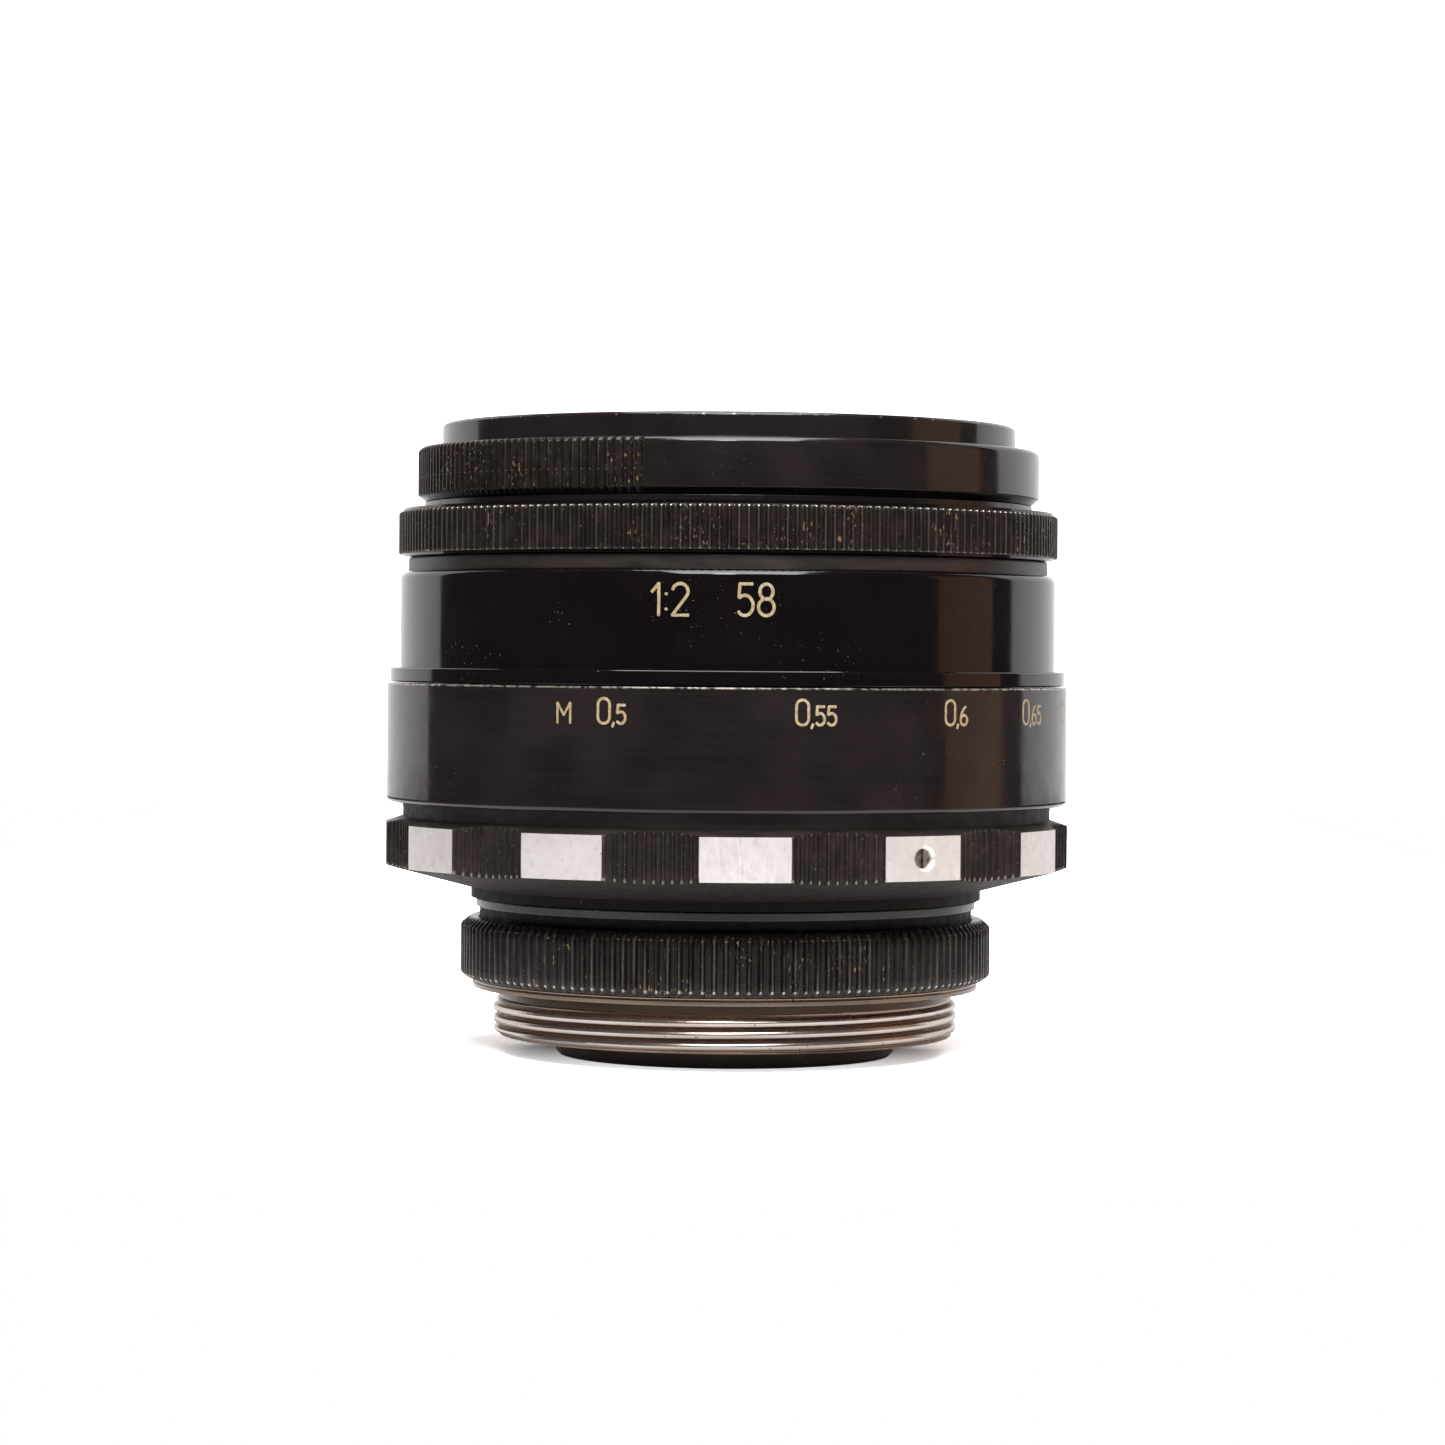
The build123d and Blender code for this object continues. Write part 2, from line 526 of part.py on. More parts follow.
def distance_ring():
    shell_r = SCALE_R - SCALE_SHELL
    return turned(
        (SLEEVE_R, SCALE_Z),
        (SCALE_R - SCALE_EDGE, SCALE_Z),
        (SCALE_R, SCALE_Z + SCALE_EDGE),
        (SCALE_R, SCALE_TOP_Z - SCALE_EDGE / 2),
        (SCALE_R - SCALE_EDGE / 2, SCALE_TOP_Z),
        (SLEEVE_R, SCALE_TOP_Z),
        (SLEEVE_R, SCALE_TOP_Z - SCALE_WEB),
        (shell_r, SCALE_TOP_Z - SCALE_WEB),
        (shell_r, SCALE_Z + SCALE_WEB),
        (SLEEVE_R, SCALE_Z + SCALE_WEB),
    )


# ------------------------------------------------------------------ head
def key_places():
    return around(Pos(0, 0, KEY_Z + KEY_LENGTH / 2), KEYS, KEY_AZIMUTH)


def key_screw_places():
    """Two screws in each key, one above the other, with their heads sunk in its face."""
    head_r = KEY_FACE_R - KEY_SCREW_HEAD
    heights = [KEY_Z + KEY_LENGTH / 2 + side * KEY_SCREW_SPACING / 2 for side in (-1, 1)]
    return [radial(KEY_AZIMUTH + 360 * i / KEYS, head_r, z) for i in range(KEYS) for z in heights]


def guide_key(index):
    """A straight key on a flat of the head tube, which slides in its slot in the guide barrel."""
    depth = KEY_FACE_R - KEY_SEAT_R
    block = Pos(KEY_SEAT_R + depth / 2, 0, 0) * Box(depth, KEY_WIDTH, KEY_LENGTH)
    key = key_places()[index] * block
    drill = rod(KEY_SCREW_R, 2 * depth) + Pos(0, 0, KEY_SCREW_HEAD) * rod(KEY_SCREW_HEAD_R, KEY_SCREW_HEAD)
    return key - [place * drill for place in key_screw_places()]


def key_screw_length():
    return KEY_FACE_R - KEY_SCREW_HEAD - HEAD_BORE_R


def key_screws():
    screw = cheese_screw(KEY_SCREW_R, key_screw_length(), KEY_SCREW_HEAD_R, KEY_SCREW_HEAD - 0.1)
    return Compound(children=[place * screw for place in key_screw_places()])


def stop_screw_place():
    return Rot(Z=STOP_AZIMUTH) * Pos(STOP_CIRCLE_R, 0, LIP_TOP_Z)


def stop_screw_reach():
    return LIP_TOP_Z - (SCALE_TOP_Z - STOP_DEPTH) - 2 * AXIAL


def focus_stop_screw():
    screw = cheese_screw(STOP_SCREW_R, stop_screw_reach(), STOP_SCREW_HEAD_R, STOP_SCREW_HEAD)
    return stop_screw_place() * screw


def head_tube():
    spigot_bore = BARREL_BORE_R - SPIGOT_WALL
    tube_body = turned(
        (HEAD_BORE_R, HEAD_WEB_Z - HEAD_SKIRT),
        (HEAD_R, HEAD_WEB_Z - HEAD_SKIRT),
        (HEAD_R, LIP_Z),
        (LIP_R, LIP_Z),
        (LIP_R, LIP_TOP_Z),
        (BARREL_BORE_R, LIP_TOP_Z),
        (BARREL_BORE_R, LIP_TOP_Z + SPIGOT_HEIGHT),
        (spigot_bore, LIP_TOP_Z + SPIGOT_HEIGHT),
        (spigot_bore, LIP_TOP_Z),
        (HEAD_BORE_R, LIP_TOP_Z),
        (HEAD_BORE_R, HEAD_WEB_TOP_Z),
        (HEAD_WEB_BORE_R, HEAD_WEB_TOP_Z),
        (HEAD_WEB_BORE_R, HEAD_WEB_Z),
        (HEAD_BORE_R, HEAD_WEB_Z),
    )
    flat = Pos(KEY_SEAT_R + HEAD_WALL / 2, 0, 0) * Box(HEAD_WALL, KEY_WIDTH, KEY_LENGTH)
    tube_body -= [place * flat for place in key_places()]
    drill = rod(KEY_SCREW_R, key_screw_length() + HEAD_WALL)
    tube_body -= [place * drill for place in key_screw_places()]
    return tube_body - stop_screw_place() * rod(STOP_SCREW_R, 2 * LIP_HEIGHT)


def focus_keeper_ring():
    """The ring on the head tube that holds the focusing sleeve up against the lip."""
    return tube(KEEPER_R, HEAD_R, KEEPER_Z, KEEPER_Z + KEEPER_HEIGHT)


def front_barrel():
    return turned(
        (BARREL_BORE_R, LIP_TOP_Z),
        (BARREL_R, LIP_TOP_Z),
        (BARREL_R, BARREL_CHAMFER_Z),
        (BARREL_NECK_R, BARREL_CHAMFER_Z + BARREL_CHAMFER),
        (BARREL_NECK_R, BARREL_TOP_Z),
        (BODY_R, BARREL_TOP_Z),
        (BODY_R, BODY_Z),
        (BARREL_BORE_R, BODY_Z),
    )


def drive_slot():
    """The arc in the front body that the drive screw of the aperture ring runs in."""
    height = 2 * (DRIVE_SCREW_R + RUN)
    half = degrees(asin(height / 2 / BODY_R))
    start = DRIVE_AZIMUTH - half
    end = DRIVE_AZIMUTH + APERTURE_TURN + half
    reach = 2 * BODY_R
    first = (reach * cos(radians(start)), reach * sin(radians(start)))
    last = (reach * cos(radians(end)), reach * sin(radians(end)))
    arc = CenterArc((0, 0), reach, start, end - start)
    sector = make_face([Line((0, 0), first), arc, Line(last, (0, 0))])
    wedge = Pos(0, 0, DRIVE_Z - height / 2) * extrude(sector, height)
    return wedge & tube(BODY_R + RUN, CAM_SLEEVE_R, DRIVE_Z - height, DRIVE_Z + height)


def front_body():
    body = turned(
        (BODY_BORE_R, BODY_Z),
        (BODY_R, BODY_Z),
        (BODY_R, SPACER_Z),
        (BODY_TOP_R, SPACER_Z),
        (BODY_TOP_R, BODY_TOP_Z),
        (NAME_RING_R, BODY_TOP_Z),
        (NAME_RING_R, BODY_BOSS_TOP_Z),
        (BODY_BOSS_R, BODY_BOSS_TOP_Z),
        (BODY_BOSS_R, BODY_FLANGE_TOP_Z),
        (FRONT_CELL_R, BODY_FLANGE_TOP_Z),
        (FRONT_CELL_R, BODY_BORE_TOP_Z),
        (BODY_BORE_R, BODY_BORE_TOP_Z),
    )
    body -= drive_slot()
    click_hole = rod(CLICK_BALL_R + RUN, BODY_TOP_R + AXIAL - CLICK_FLOOR_R)
    return body - radial(CLICK_AZIMUTH, BODY_TOP_R + AXIAL, CLICK_Z) * click_hole


def click_ball():
    return radial(CLICK_AZIMUTH, CLICK_BALL_CENTRE_R, CLICK_Z) * Sphere(CLICK_BALL_R)


def click_spring():
    """A coil between the ball and the floor of its hole."""
    height = CLICK_BALL_CENTRE_R - CLICK_BALL_R - CLICK_FLOOR_R - 2 * CLICK_WIRE_R
    coil_r = CLICK_BALL_R - CLICK_WIRE_R
    coil = Helix(pitch=height / CLICK_SPRING_TURNS, height=height, radius=coil_r)
    wire = Plane(origin=coil @ 0, z_dir=coil % 0) * Circle(CLICK_WIRE_R)
    return radial(CLICK_AZIMUTH, CLICK_FLOOR_R + CLICK_WIRE_R, CLICK_Z) * sweep(wire, path=coil)


def ring_spacer():
    """Keeps the aperture ring down on the barrel and carries the preset ring."""
    return tube(SPACER_R, BODY_TOP_R, SPACER_Z, SPACER_Z + SPACER_HEIGHT)


def filter_ring():
    return turned(
        (BODY_TOP_R, FILTER_RING_Z),
        (BODY_R, FILTER_RING_Z),
        (BODY_R, FRONT_Z - FILTER_EDGE),
        (BODY_R - FILTER_EDGE, FRONT_Z),
        (FILTER_THREAD_R + FILTER_EDGE, FRONT_Z),
        (FILTER_THREAD_R, FRONT_Z - FILTER_EDGE),
        (FILTER_THREAD_R, BODY_TOP_Z),
        (BODY_TOP_R, BODY_TOP_Z),
    )


def name_ring():
    rim_top = BODY_BOSS_TOP_Z + NAME_RING_EDGE
    return turned(
        (NAME_RING_BORE_R, FRONT_CELL_TOP_Z + AXIAL),
        (BODY_BOSS_R - RUN, FRONT_CELL_TOP_Z + AXIAL),
        (BODY_BOSS_R - RUN, BODY_BOSS_TOP_Z),
        (NAME_RING_R, BODY_BOSS_TOP_Z),
        (NAME_RING_R, rim_top),
        (NAME_RING_R - NAME_RING_LIP, rim_top),
        (NAME_RING_BORE_R, FRONT_CELL_TOP_Z + NAME_RING_EDGE),
    )


# ------------------------------------------------------------------ iris rings
def drive_screw_place(radius):
    return radial(DRIVE_AZIMUTH, radius, DRIVE_Z)


def aperture_ring():
    ring = turned(
        (BODY_R + RUN, APERTURE_Z),
        (APERTURE_R - APERTURE_EDGE, APERTURE_Z),
        (APERTURE_R, APERTURE_Z + APERTURE_EDGE),
        (APERTURE_R, APERTURE_TOP_Z - APERTURE_EDGE),
        (APERTURE_R - APERTURE_EDGE, APERTURE_TOP_Z),
        (BODY_R + RUN, APERTURE_TOP_Z),
    )
    return ring - drive_screw_place(APERTURE_R) * rod(DRIVE_SCREW_R, 2 * APERTURE_WALL)


def aperture_drive_screw():
    """A grub screw that joins the aperture ring to the sleeve of the iris cam."""
    top = APERTURE_R - DRIVE_RECESS
    screw = rod(DRIVE_SCREW_R, top - drive_tip_r()) - slotted(DRIVE_SCREW_R, GRUB_SLOT_DEPTH)
    return drive_screw_place(top) * screw


def drive_tip_r():
    return BODY_BORE_R - DRIVE_BITE


def iris_drive_sleeve():
    """Carries the turn of the aperture ring down past the front cell to the iris cam."""
    sleeve = turned(
        (CAM_SLEEVE_BORE_R, CAM_TOP_Z),
        (CAM_SLEEVE_R, CAM_TOP_Z),
        (CAM_SLEEVE_R, CAM_FLANGE_Z),
        (CAM_FLANGE_R, CAM_FLANGE_Z),
        (CAM_FLANGE_R, CAM_FLANGE_TOP_Z),
        (CAM_SLEEVE_BORE_R, CAM_FLANGE_TOP_Z),
    )
    return sleeve - drive_screw_place(APERTURE_R) * rod(DRIVE_SCREW_R, APERTURE_R - drive_tip_r())


def preset_ring():
    ring = turned(
        (BODY_TOP_R + RUN, PRESET_Z),
        (SPACER_R, PRESET_Z),
        (PRESET_R, PRESET_Z + PRESET_FOOT),
        (PRESET_R, PRESET_TOP_Z - PRESET_EDGE),
        (PRESET_R - PRESET_EDGE, PRESET_TOP_Z),
        (BODY_R + 2 * RUN, PRESET_TOP_Z),
        (BODY_R + 2 * RUN, PRESET_STEP_Z),
        (BODY_TOP_R + RUN, PRESET_STEP_Z),
    )
    pit = Pos(BODY_TOP_R + RUN, 0, CLICK_Z) * Sphere(CLICK_PIT_R)
    step = APERTURE_TURN / (STOPS - 1)
    return ring - [Rot(Z=CLICK_AZIMUTH - i * step) * pit for i in range(STOPS)]


# ------------------------------------------------------------------ iris
def drive_pin_place(turn):
    """Plan position of a leaf's drive pin when the leaf has turned, in degrees, about its pivot."""
    angle = radians(90 + turn)
    return PIVOT_R + DRIVE_ARM * cos(angle), DRIVE_ARM * sin(angle)


def cam_slot():
    """Path of the drive pin over the cam ring while both turn, cut as wide as the pin needs."""
    width = 2 * (PIN_R + PIN_CLEARANCE)
    points = []
    for step in range(10):
        share = step / 9
        x, y = drive_pin_place(LEAF_TURN * share)
        azimuth = atan2(y, x) - radians(APERTURE_TURN * share)
        points.append((hypot(x, y) * cos(azimuth), hypot(x, y) * sin(azimuth)))
    path = Spline(*points)
    ends = [Pos(*points[0]) * Circle(width / 2), Pos(*points[-1]) * Circle(width / 2)]
    return Pos(0, 0, CAM_Z) * extrude(trace(path, width) + ends, CAM_HEIGHT)


def iris_cam_ring():
    ring = tube(CAM_SLEEVE_R, CAM_BORE_R, CAM_Z, CAM_TOP_Z)
    return ring - around(cam_slot(), LEAVES)


def iris_pivot_plate():
    """The fixed plate with a hole for each leaf's pivot and an arc for its drive pin."""
    plate = tube(PIVOT_PLATE_R, REAR_CELL_NOSE_R, PLATE_Z, PLATE_TOP_Z)
    hole = Pos(PIVOT_R, 0, PLATE_Z) * extrude(Circle(PIN_R + PIN_CLEARANCE), PIVOT_PLATE_HEIGHT)
    path = CenterArc((PIVOT_R, 0), DRIVE_ARM, 90, LEAF_TURN)
    slot = SlotArc(path, 2 * (PIN_R + ARC_CLEARANCE))
    arc = Pos(0, 0, PLATE_Z) * extrude(slot, PIVOT_PLATE_HEIGHT)
    return plate - around(hole, LEAVES) - around(arc, LEAVES)


def leaf_height(x, y):
    """Height of the tilted leaf above its pivot."""
    slope = radians(LEAF_SLOPE_AZIMUTH)
    return LEAF_SLOPE * ((x - PIVOT_R) * cos(slope) + y * sin(slope))


def leaf_pin(x, y, bottom):
    top = LEAF_Z + leaf_height(x, y)
    return Pos(x, y, bottom) * extrude(Circle(PIN_R), top - bottom)


def iris_leaf(index):
    """A thin crescent on two pins, tilted so that it lies over one neighbour and under the other."""
    outer = CenterArc((0, 0), LEAF_OUTER_R, -LEAF_TAIL, LEAF_ANGLE + LEAF_TAIL)
    inner = CenterArc((0, 0), LEAF_INNER_R, -LEAF_TAIL, LEAF_ANGLE + LEAF_TAIL)
    outline = make_face([outer, Line(outer @ 1, inner @ 1), inner, Line(inner @ 0, outer @ 0)])
    outline = fillet(outline.vertices(), LEAF_CORNER_R)
    prism = Pos(0, 0, PLATE_Z) * extrude(outline, LEAF_WIDTH)
    slope = radians(LEAF_SLOPE_AZIMUTH)
    normal = (-LEAF_SLOPE * cos(slope), -LEAF_SLOPE * sin(slope), 1)
    span = 4 * LEAF_OUTER_R
    sheet = Plane(origin=(PIVOT_R, 0, LEAF_Z), z_dir=normal) * Box(span, span, LEAF_THICKNESS)
    pivot = leaf_pin(PIVOT_R, 0, PLATE_Z + AXIAL)
    drive = leaf_pin(*drive_pin_place(0), CAM_Z + AXIAL)
    return Rot(Z=360 * index / LEAVES) * ((prism & sheet) + pivot + drive)


# ------------------------------------------------------------------ optics
def glass(lens, vertex, flat_r=0.0):
    """A lens from its rear vertex up; flat_r is where its rear surface ends in a flat rim."""
    radius = lens["radius"]
    rear_r = flat_r or radius
    top = vertex + lens["height"]

    def surface(apex, curve, reach):
        return ThreePointArc((0, apex), (reach / 2, surface_z(apex, curve, reach / 2)),
                             (reach, surface_z(apex, curve, reach)))

    rear_edge = surface_z(vertex, lens["rear"], rear_r)
    front_edge = surface_z(top, lens["front"], radius)
    edges = [surface(vertex, lens["rear"], rear_r)]
    if flat_r:
        edges.append(Line((flat_r, rear_edge), (radius, rear_edge)))
    edges.append(Line((radius, rear_edge), (radius, front_edge)))
    edges.append(surface(top, lens["front"], radius))
    edges.append(Line((0, vertex), (0, top)))
    return revolve(Plane.XZ * make_face(edges), Axis.Z)


def third_lens_seat_z():
    return surface_z(SECOND_LENS_Z, SECOND_LENS["rear"], SECOND_LENS["radius"])


def front_lens_seat_z():
    return surface_z(FRONT_LENS_Z, FRONT_LENS["rear"], FRONT_LENS["radius"])


def rear_cell():
    """Holds the rear lens and the rear doublet, and screws up into the web of the head tube."""
    flange_z = HEAD_WEB_Z - REAR_CELL_FLANGE_HEIGHT
    lip_z = surface_z(FOURTH_LENS_TOP_Z, FOURTH_LENS["front"], FOURTH_LENS["radius"])
    lip_r = FOURTH_LENS["radius"] - REAR_CELL_LIP
    return turned(
        (REAR_BORE_R, 0),
        (REAR_CELL_R - REAR_CELL_EDGE, 0),
        (REAR_CELL_R, REAR_CELL_EDGE),
        (REAR_CELL_R, flange_z),
        (REAR_CELL_FLANGE_R, flange_z),
        (REAR_CELL_FLANGE_R, HEAD_WEB_Z),
        (HEAD_WEB_BORE_R, HEAD_WEB_Z),
        (HEAD_WEB_BORE_R, HEAD_WEB_TOP_Z),
        (REAR_CELL_SHOULDER_R, HEAD_WEB_TOP_Z),
        (REAR_CELL_SHOULDER_R, PLATE_Z),
        (REAR_CELL_NOSE_R, PLATE_Z),
        (REAR_CELL_NOSE_R, lip_z + REAR_CELL_LIP),
        (lip_r, lip_z + REAR_CELL_LIP),
        (lip_r, lip_z),
        (DOUBLET_BORE_R, lip_z),
        (DOUBLET_BORE_R, DOUBLET_SHOULDER_Z),
        (REAR_BORE_R, DOUBLET_SHOULDER_Z),
    )


def rear_lens_spacer():
    """Stands between the rear lens and the doublet and touches each on the circle of its bore."""
    bottom = surface_z(REAR_LENS_TOP_Z, REAR_LENS["front"], REAR_SPACER_BORE_R)
    top = surface_z(FIFTH_LENS_Z, FIFTH_LENS["rear"], REAR_SPACER_BORE_R)
    return turned(
        (REAR_SPACER_BORE_R, bottom),
        (REAR_LENS["radius"], bottom),
        (REAR_LENS["radius"], DOUBLET_SHOULDER_Z),
        (FIFTH_LENS["radius"], DOUBLET_SHOULDER_Z),
        (FIFTH_LENS["radius"], top),
        (REAR_SPACER_BORE_R, top),
    )


def rear_lens_retainer():
    top = surface_z(REAR_VERTEX_Z, REAR_LENS["rear"], REAR_RETAINER_BORE_R)
    ring = tube(REAR_BORE_R, REAR_RETAINER_BORE_R, top - RETAINER_HEIGHT, top)
    return spanner_slots(ring, REAR_RETAINER_BORE_R, REAR_BORE_R, top - RETAINER_HEIGHT, RETAINER_SLOT_DEPTH)


def front_cell():
    """Hangs in the front body by its flange and holds the front lens and the front doublet."""
    foot_z = surface_z(THIRD_LENS_Z, THIRD_LENS["rear"], THIRD_LENS_DISH_R) - FRONT_CELL_FOOT
    return turned(
        (MIDDLE_BORE_R, foot_z),
        (FRONT_CELL_R, foot_z),
        (FRONT_CELL_R, BODY_FLANGE_TOP_Z),
        (FRONT_CELL_FLANGE_R, BODY_FLANGE_TOP_Z),
        (FRONT_CELL_FLANGE_R, FRONT_CELL_TOP_Z),
        (NAME_RING_BORE_R, FRONT_CELL_TOP_Z),
        (FRONT_BORE_R, FRONT_CELL_TOP_Z - FRONT_CELL_BEVEL),
        (FRONT_BORE_R, front_lens_seat_z()),
        (SECOND_BORE_R, front_lens_seat_z()),
        (SECOND_BORE_R, third_lens_seat_z()),
        (MIDDLE_BORE_R, third_lens_seat_z()),
    )


def middle_retainer():
    bottom = surface_z(SECOND_LENS_TOP_Z, SECOND_LENS["front"], MIDDLE_RETAINER_BORE_R)
    top = bottom + RETAINER_HEIGHT
    ring = tube(SECOND_BORE_R, MIDDLE_RETAINER_BORE_R, bottom, top)
    return spanner_slots(ring, MIDDLE_RETAINER_BORE_R, SECOND_BORE_R, top, RETAINER_SLOT_DEPTH)


def front_retainer():
    bottom = surface_z(FRONT_VERTEX_Z, FRONT_LENS["front"], FRONT_RETAINER_BORE_R)
    top = bottom + RETAINER_HEIGHT
    ring = tube(FRONT_BORE_R, FRONT_RETAINER_BORE_R, bottom, top)
    return spanner_slots(ring, FRONT_RETAINER_BORE_R, FRONT_BORE_R, top, RETAINER_SLOT_DEPTH)


# ------------------------------------------------------------------ the whole lens
def assembly():
    parts = {
        "mount_ring": mount_ring(),
        "mount_screws": mount_screws(),
        "guide_barrel": guide_barrel(),
        "focus_grip_ring": focus_grip_ring(),
        "grip_set_screws": grip_screws(),
        "focus_sleeve": focus_sleeve(),
        "distance_ring": distance_ring(),
        "head_tube": head_tube(),
        "key_screws": key_screws(),
        "focus_keeper_ring": focus_keeper_ring(),
        "focus_stop_screw": focus_stop_screw(),
        "front_barrel": front_barrel(),
        "front_body": front_body(),
        "ring_spacer": ring_spacer(),
        "filter_ring": filter_ring(),
        "name_ring": name_ring(),
        "click_ball": click_ball(),
        "click_spring": click_spring(),
        "aperture_ring": aperture_ring(),
        "aperture_drive_screw": aperture_drive_screw(),
        "iris_drive_sleeve": iris_drive_sleeve(),
        "iris_cam_ring": iris_cam_ring(),
        "iris_pivot_plate": iris_pivot_plate(),
        "preset_ring": preset_ring(),
        "front_cell": front_cell(),
        "front_lens": glass(FRONT_LENS, FRONT_LENS_Z),
        "front_lens_retainer": front_retainer(),
        "second_lens": glass(SECOND_LENS, SECOND_LENS_Z),
        "third_lens": glass(THIRD_LENS, THIRD_LENS_Z, THIRD_LENS_DISH_R),
        "front_doublet_retainer": middle_retainer(),
        "rear_cell": rear_cell(),
        "fourth_lens": glass(FOURTH_LENS, FOURTH_LENS_Z),
        "fifth_lens": glass(FIFTH_LENS, FIFTH_LENS_Z),
        "rear_lens_spacer": rear_lens_spacer(),
        "rear_lens": glass(REAR_LENS, REAR_VERTEX_Z),
        "rear_lens_retainer": rear_lens_retainer(),
    }
    for index in range(KEYS):
        parts[f"guide_key_{index + 1}"] = guide_key(index)
    for index in range(LEAVES):
        parts[f"iris_leaf_{index + 1}"] = iris_leaf(index)
    return parts


os.makedirs("parts", exist_ok=True)
for name, shape in assembly().items():
    export_step(shape, f"parts/{name}.step")
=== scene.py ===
"""Looks of a manual-focus lens with a screw mount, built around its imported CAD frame.

Lengths in this script are millimetres, as on a drawing of the lens; placed() turns them into metres.
Azimuths are degrees about +Z, counted from the side that faces the camera (-Y) towards +X.
"""

import json
import math

import bmesh
import bpy
from mathutils import Matrix, Vector

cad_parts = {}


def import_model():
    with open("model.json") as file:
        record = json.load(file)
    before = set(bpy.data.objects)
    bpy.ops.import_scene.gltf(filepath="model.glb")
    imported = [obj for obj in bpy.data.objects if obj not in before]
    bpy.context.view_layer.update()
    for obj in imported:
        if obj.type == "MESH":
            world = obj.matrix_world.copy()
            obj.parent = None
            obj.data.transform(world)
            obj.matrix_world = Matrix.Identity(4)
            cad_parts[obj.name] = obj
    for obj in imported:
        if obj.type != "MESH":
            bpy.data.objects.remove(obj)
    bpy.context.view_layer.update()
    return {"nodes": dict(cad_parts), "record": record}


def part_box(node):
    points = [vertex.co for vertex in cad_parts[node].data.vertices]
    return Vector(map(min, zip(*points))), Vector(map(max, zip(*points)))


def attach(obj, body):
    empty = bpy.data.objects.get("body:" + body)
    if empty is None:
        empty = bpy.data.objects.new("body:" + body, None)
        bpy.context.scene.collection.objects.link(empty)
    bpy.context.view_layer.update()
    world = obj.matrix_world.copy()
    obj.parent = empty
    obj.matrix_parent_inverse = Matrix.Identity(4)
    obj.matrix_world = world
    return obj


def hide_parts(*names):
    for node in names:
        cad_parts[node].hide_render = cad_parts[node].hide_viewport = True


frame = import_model()

MM = 0.001
TURN = 2 * math.pi
ANODISED = "black_anodised_aluminium"


# ---------------- sizes read from the frame
def reach(node):
    """Outer radius, bottom and top of a turned CAD node."""
    low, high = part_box(node)
    return high.x / MM, low.z / MM, high.z / MM


MOUNT_R, THREAD_END_Z, MOUNT_TOP_Z = reach("mount_ring")
GUIDE_THREAD_R, MOUNT_FOOT_Z, GUIDE_TOP_Z = reach("guide_barrel")
GRIP_R, GRIP_Z, SCALE_Z = reach("focus_grip_ring")
SLEEVE_R, SLEEVE_Z, SCALE_TOP_Z = reach("focus_sleeve")
SCALE_R = reach("distance_ring")[0]
LIP_R, HEAD_BOTTOM_Z, HEAD_TOP_Z = reach("head_tube")
BARREL_R, LIP_TOP_Z, BARREL_TOP_Z = reach("front_barrel")
APERTURE_R, APERTURE_Z, APERTURE_TOP_Z = reach("aperture_ring")
SPACER_R, SPACER_Z, SPACER_TOP_Z = reach("ring_spacer")
PRESET_R, PRESET_Z, PRESET_TOP_Z = reach("preset_ring")
FILTER_R, FILTER_RING_Z, FRONT_Z = reach("filter_ring")
NAME_RING_R, NAME_RING_Z, NAME_RING_TOP_Z = reach("name_ring")
BODY_TOP_Z = reach("front_body")[2]

# ---------------- sizes of the visible forms
RUN = 0.06
THREAD_R = 21
THREAD_PITCH = 1
THREAD_DEPTH = 0.6
THREAD_TOP_Z = 5.2
THREAD_PHASE = -0.35
RELIEF_R = 20.5
SEAT_Z = 6.1
SEAT_GROOVE_R = 21.3
SEAT_GROOVE_DEPTH = 0.25
SEAT_RIM_R = 22.9
SEAT_RIM_HEIGHT = 0.65
SEAT_STEP = 0.2
SEAT_STEP_HEIGHT = 0.45
THROAT_R = 19
MOUNT_FOOT_R = 22.3
MOUNT_TOP_R = 23.2
MOUNT_TEETH = 150
MOUNT_TOOTH_DEPTH = 0.42
MOUNT_SCREWS = 3
MOUNT_SCREW_CIRCLE_R = 21.33
MOUNT_SCREW_HEAD_R = 0.8
MOUNT_SINK_DEPTH = 1.3

GUIDE_BORE_R = 20.36
GUIDE_BAND_Z = 13.36
GUIDE_GROOVE_Z = 14.1
HELICOID_STARTS = 6
HELICOID_LEAD = 12.03
HELICOID_DEPTH = 0.55
KEYS = 2
KEY_SLOT_WIDTH = 4.12
KEY_SLOT_LENGTH = 8
KEY_SLOT_Z = 16.9

GRIP_NOSE_R = 23.1
GRIP_NOSE_TOP_R = 23.105
GRIP_NOSE_TOP_Z = 15.1
GRIP_BORE_R = 22.71
GRIP_LAND_Z = 17.13
GRIP_SHOULDER_Z = 20.94
GRIP_NECK_Z = 21.48
GRIP_NECK_R = 29.3
SCALLOPS = 12
SCALLOP_ANGLE = 15.5
SCALLOP_DEPTH = 0.9
SCALLOP_AZIMUTH = 18
SCALLOP_TEETH = 10
SCALLOP_TOOTH_DEPTH = 0.3
GRIP_SCREWS = 3
GRIP_SCREW_AZIMUTH = 33
GRIP_SCREW_R = 0.85
GRIP_SCREW_SINK = 0.28

SCALE_EDGE = 0.3
HEAD_R = 20.3
HEAD_BORE_R = 19.2
HEAD_WEB_BORE_R = 13.6
HEAD_WEB_Z = 15
HEAD_WEB_HEIGHT = 2.2
LIP_Z = 33.53
BARREL_WALL = 1.7
SPIGOT_WALL = 1.5
BARREL_CHAMFER_Z = 43.05
BARREL_CHAMFER = 0.4
BARREL_NECK_R = 28.9
BARREL_WEB = 3.45

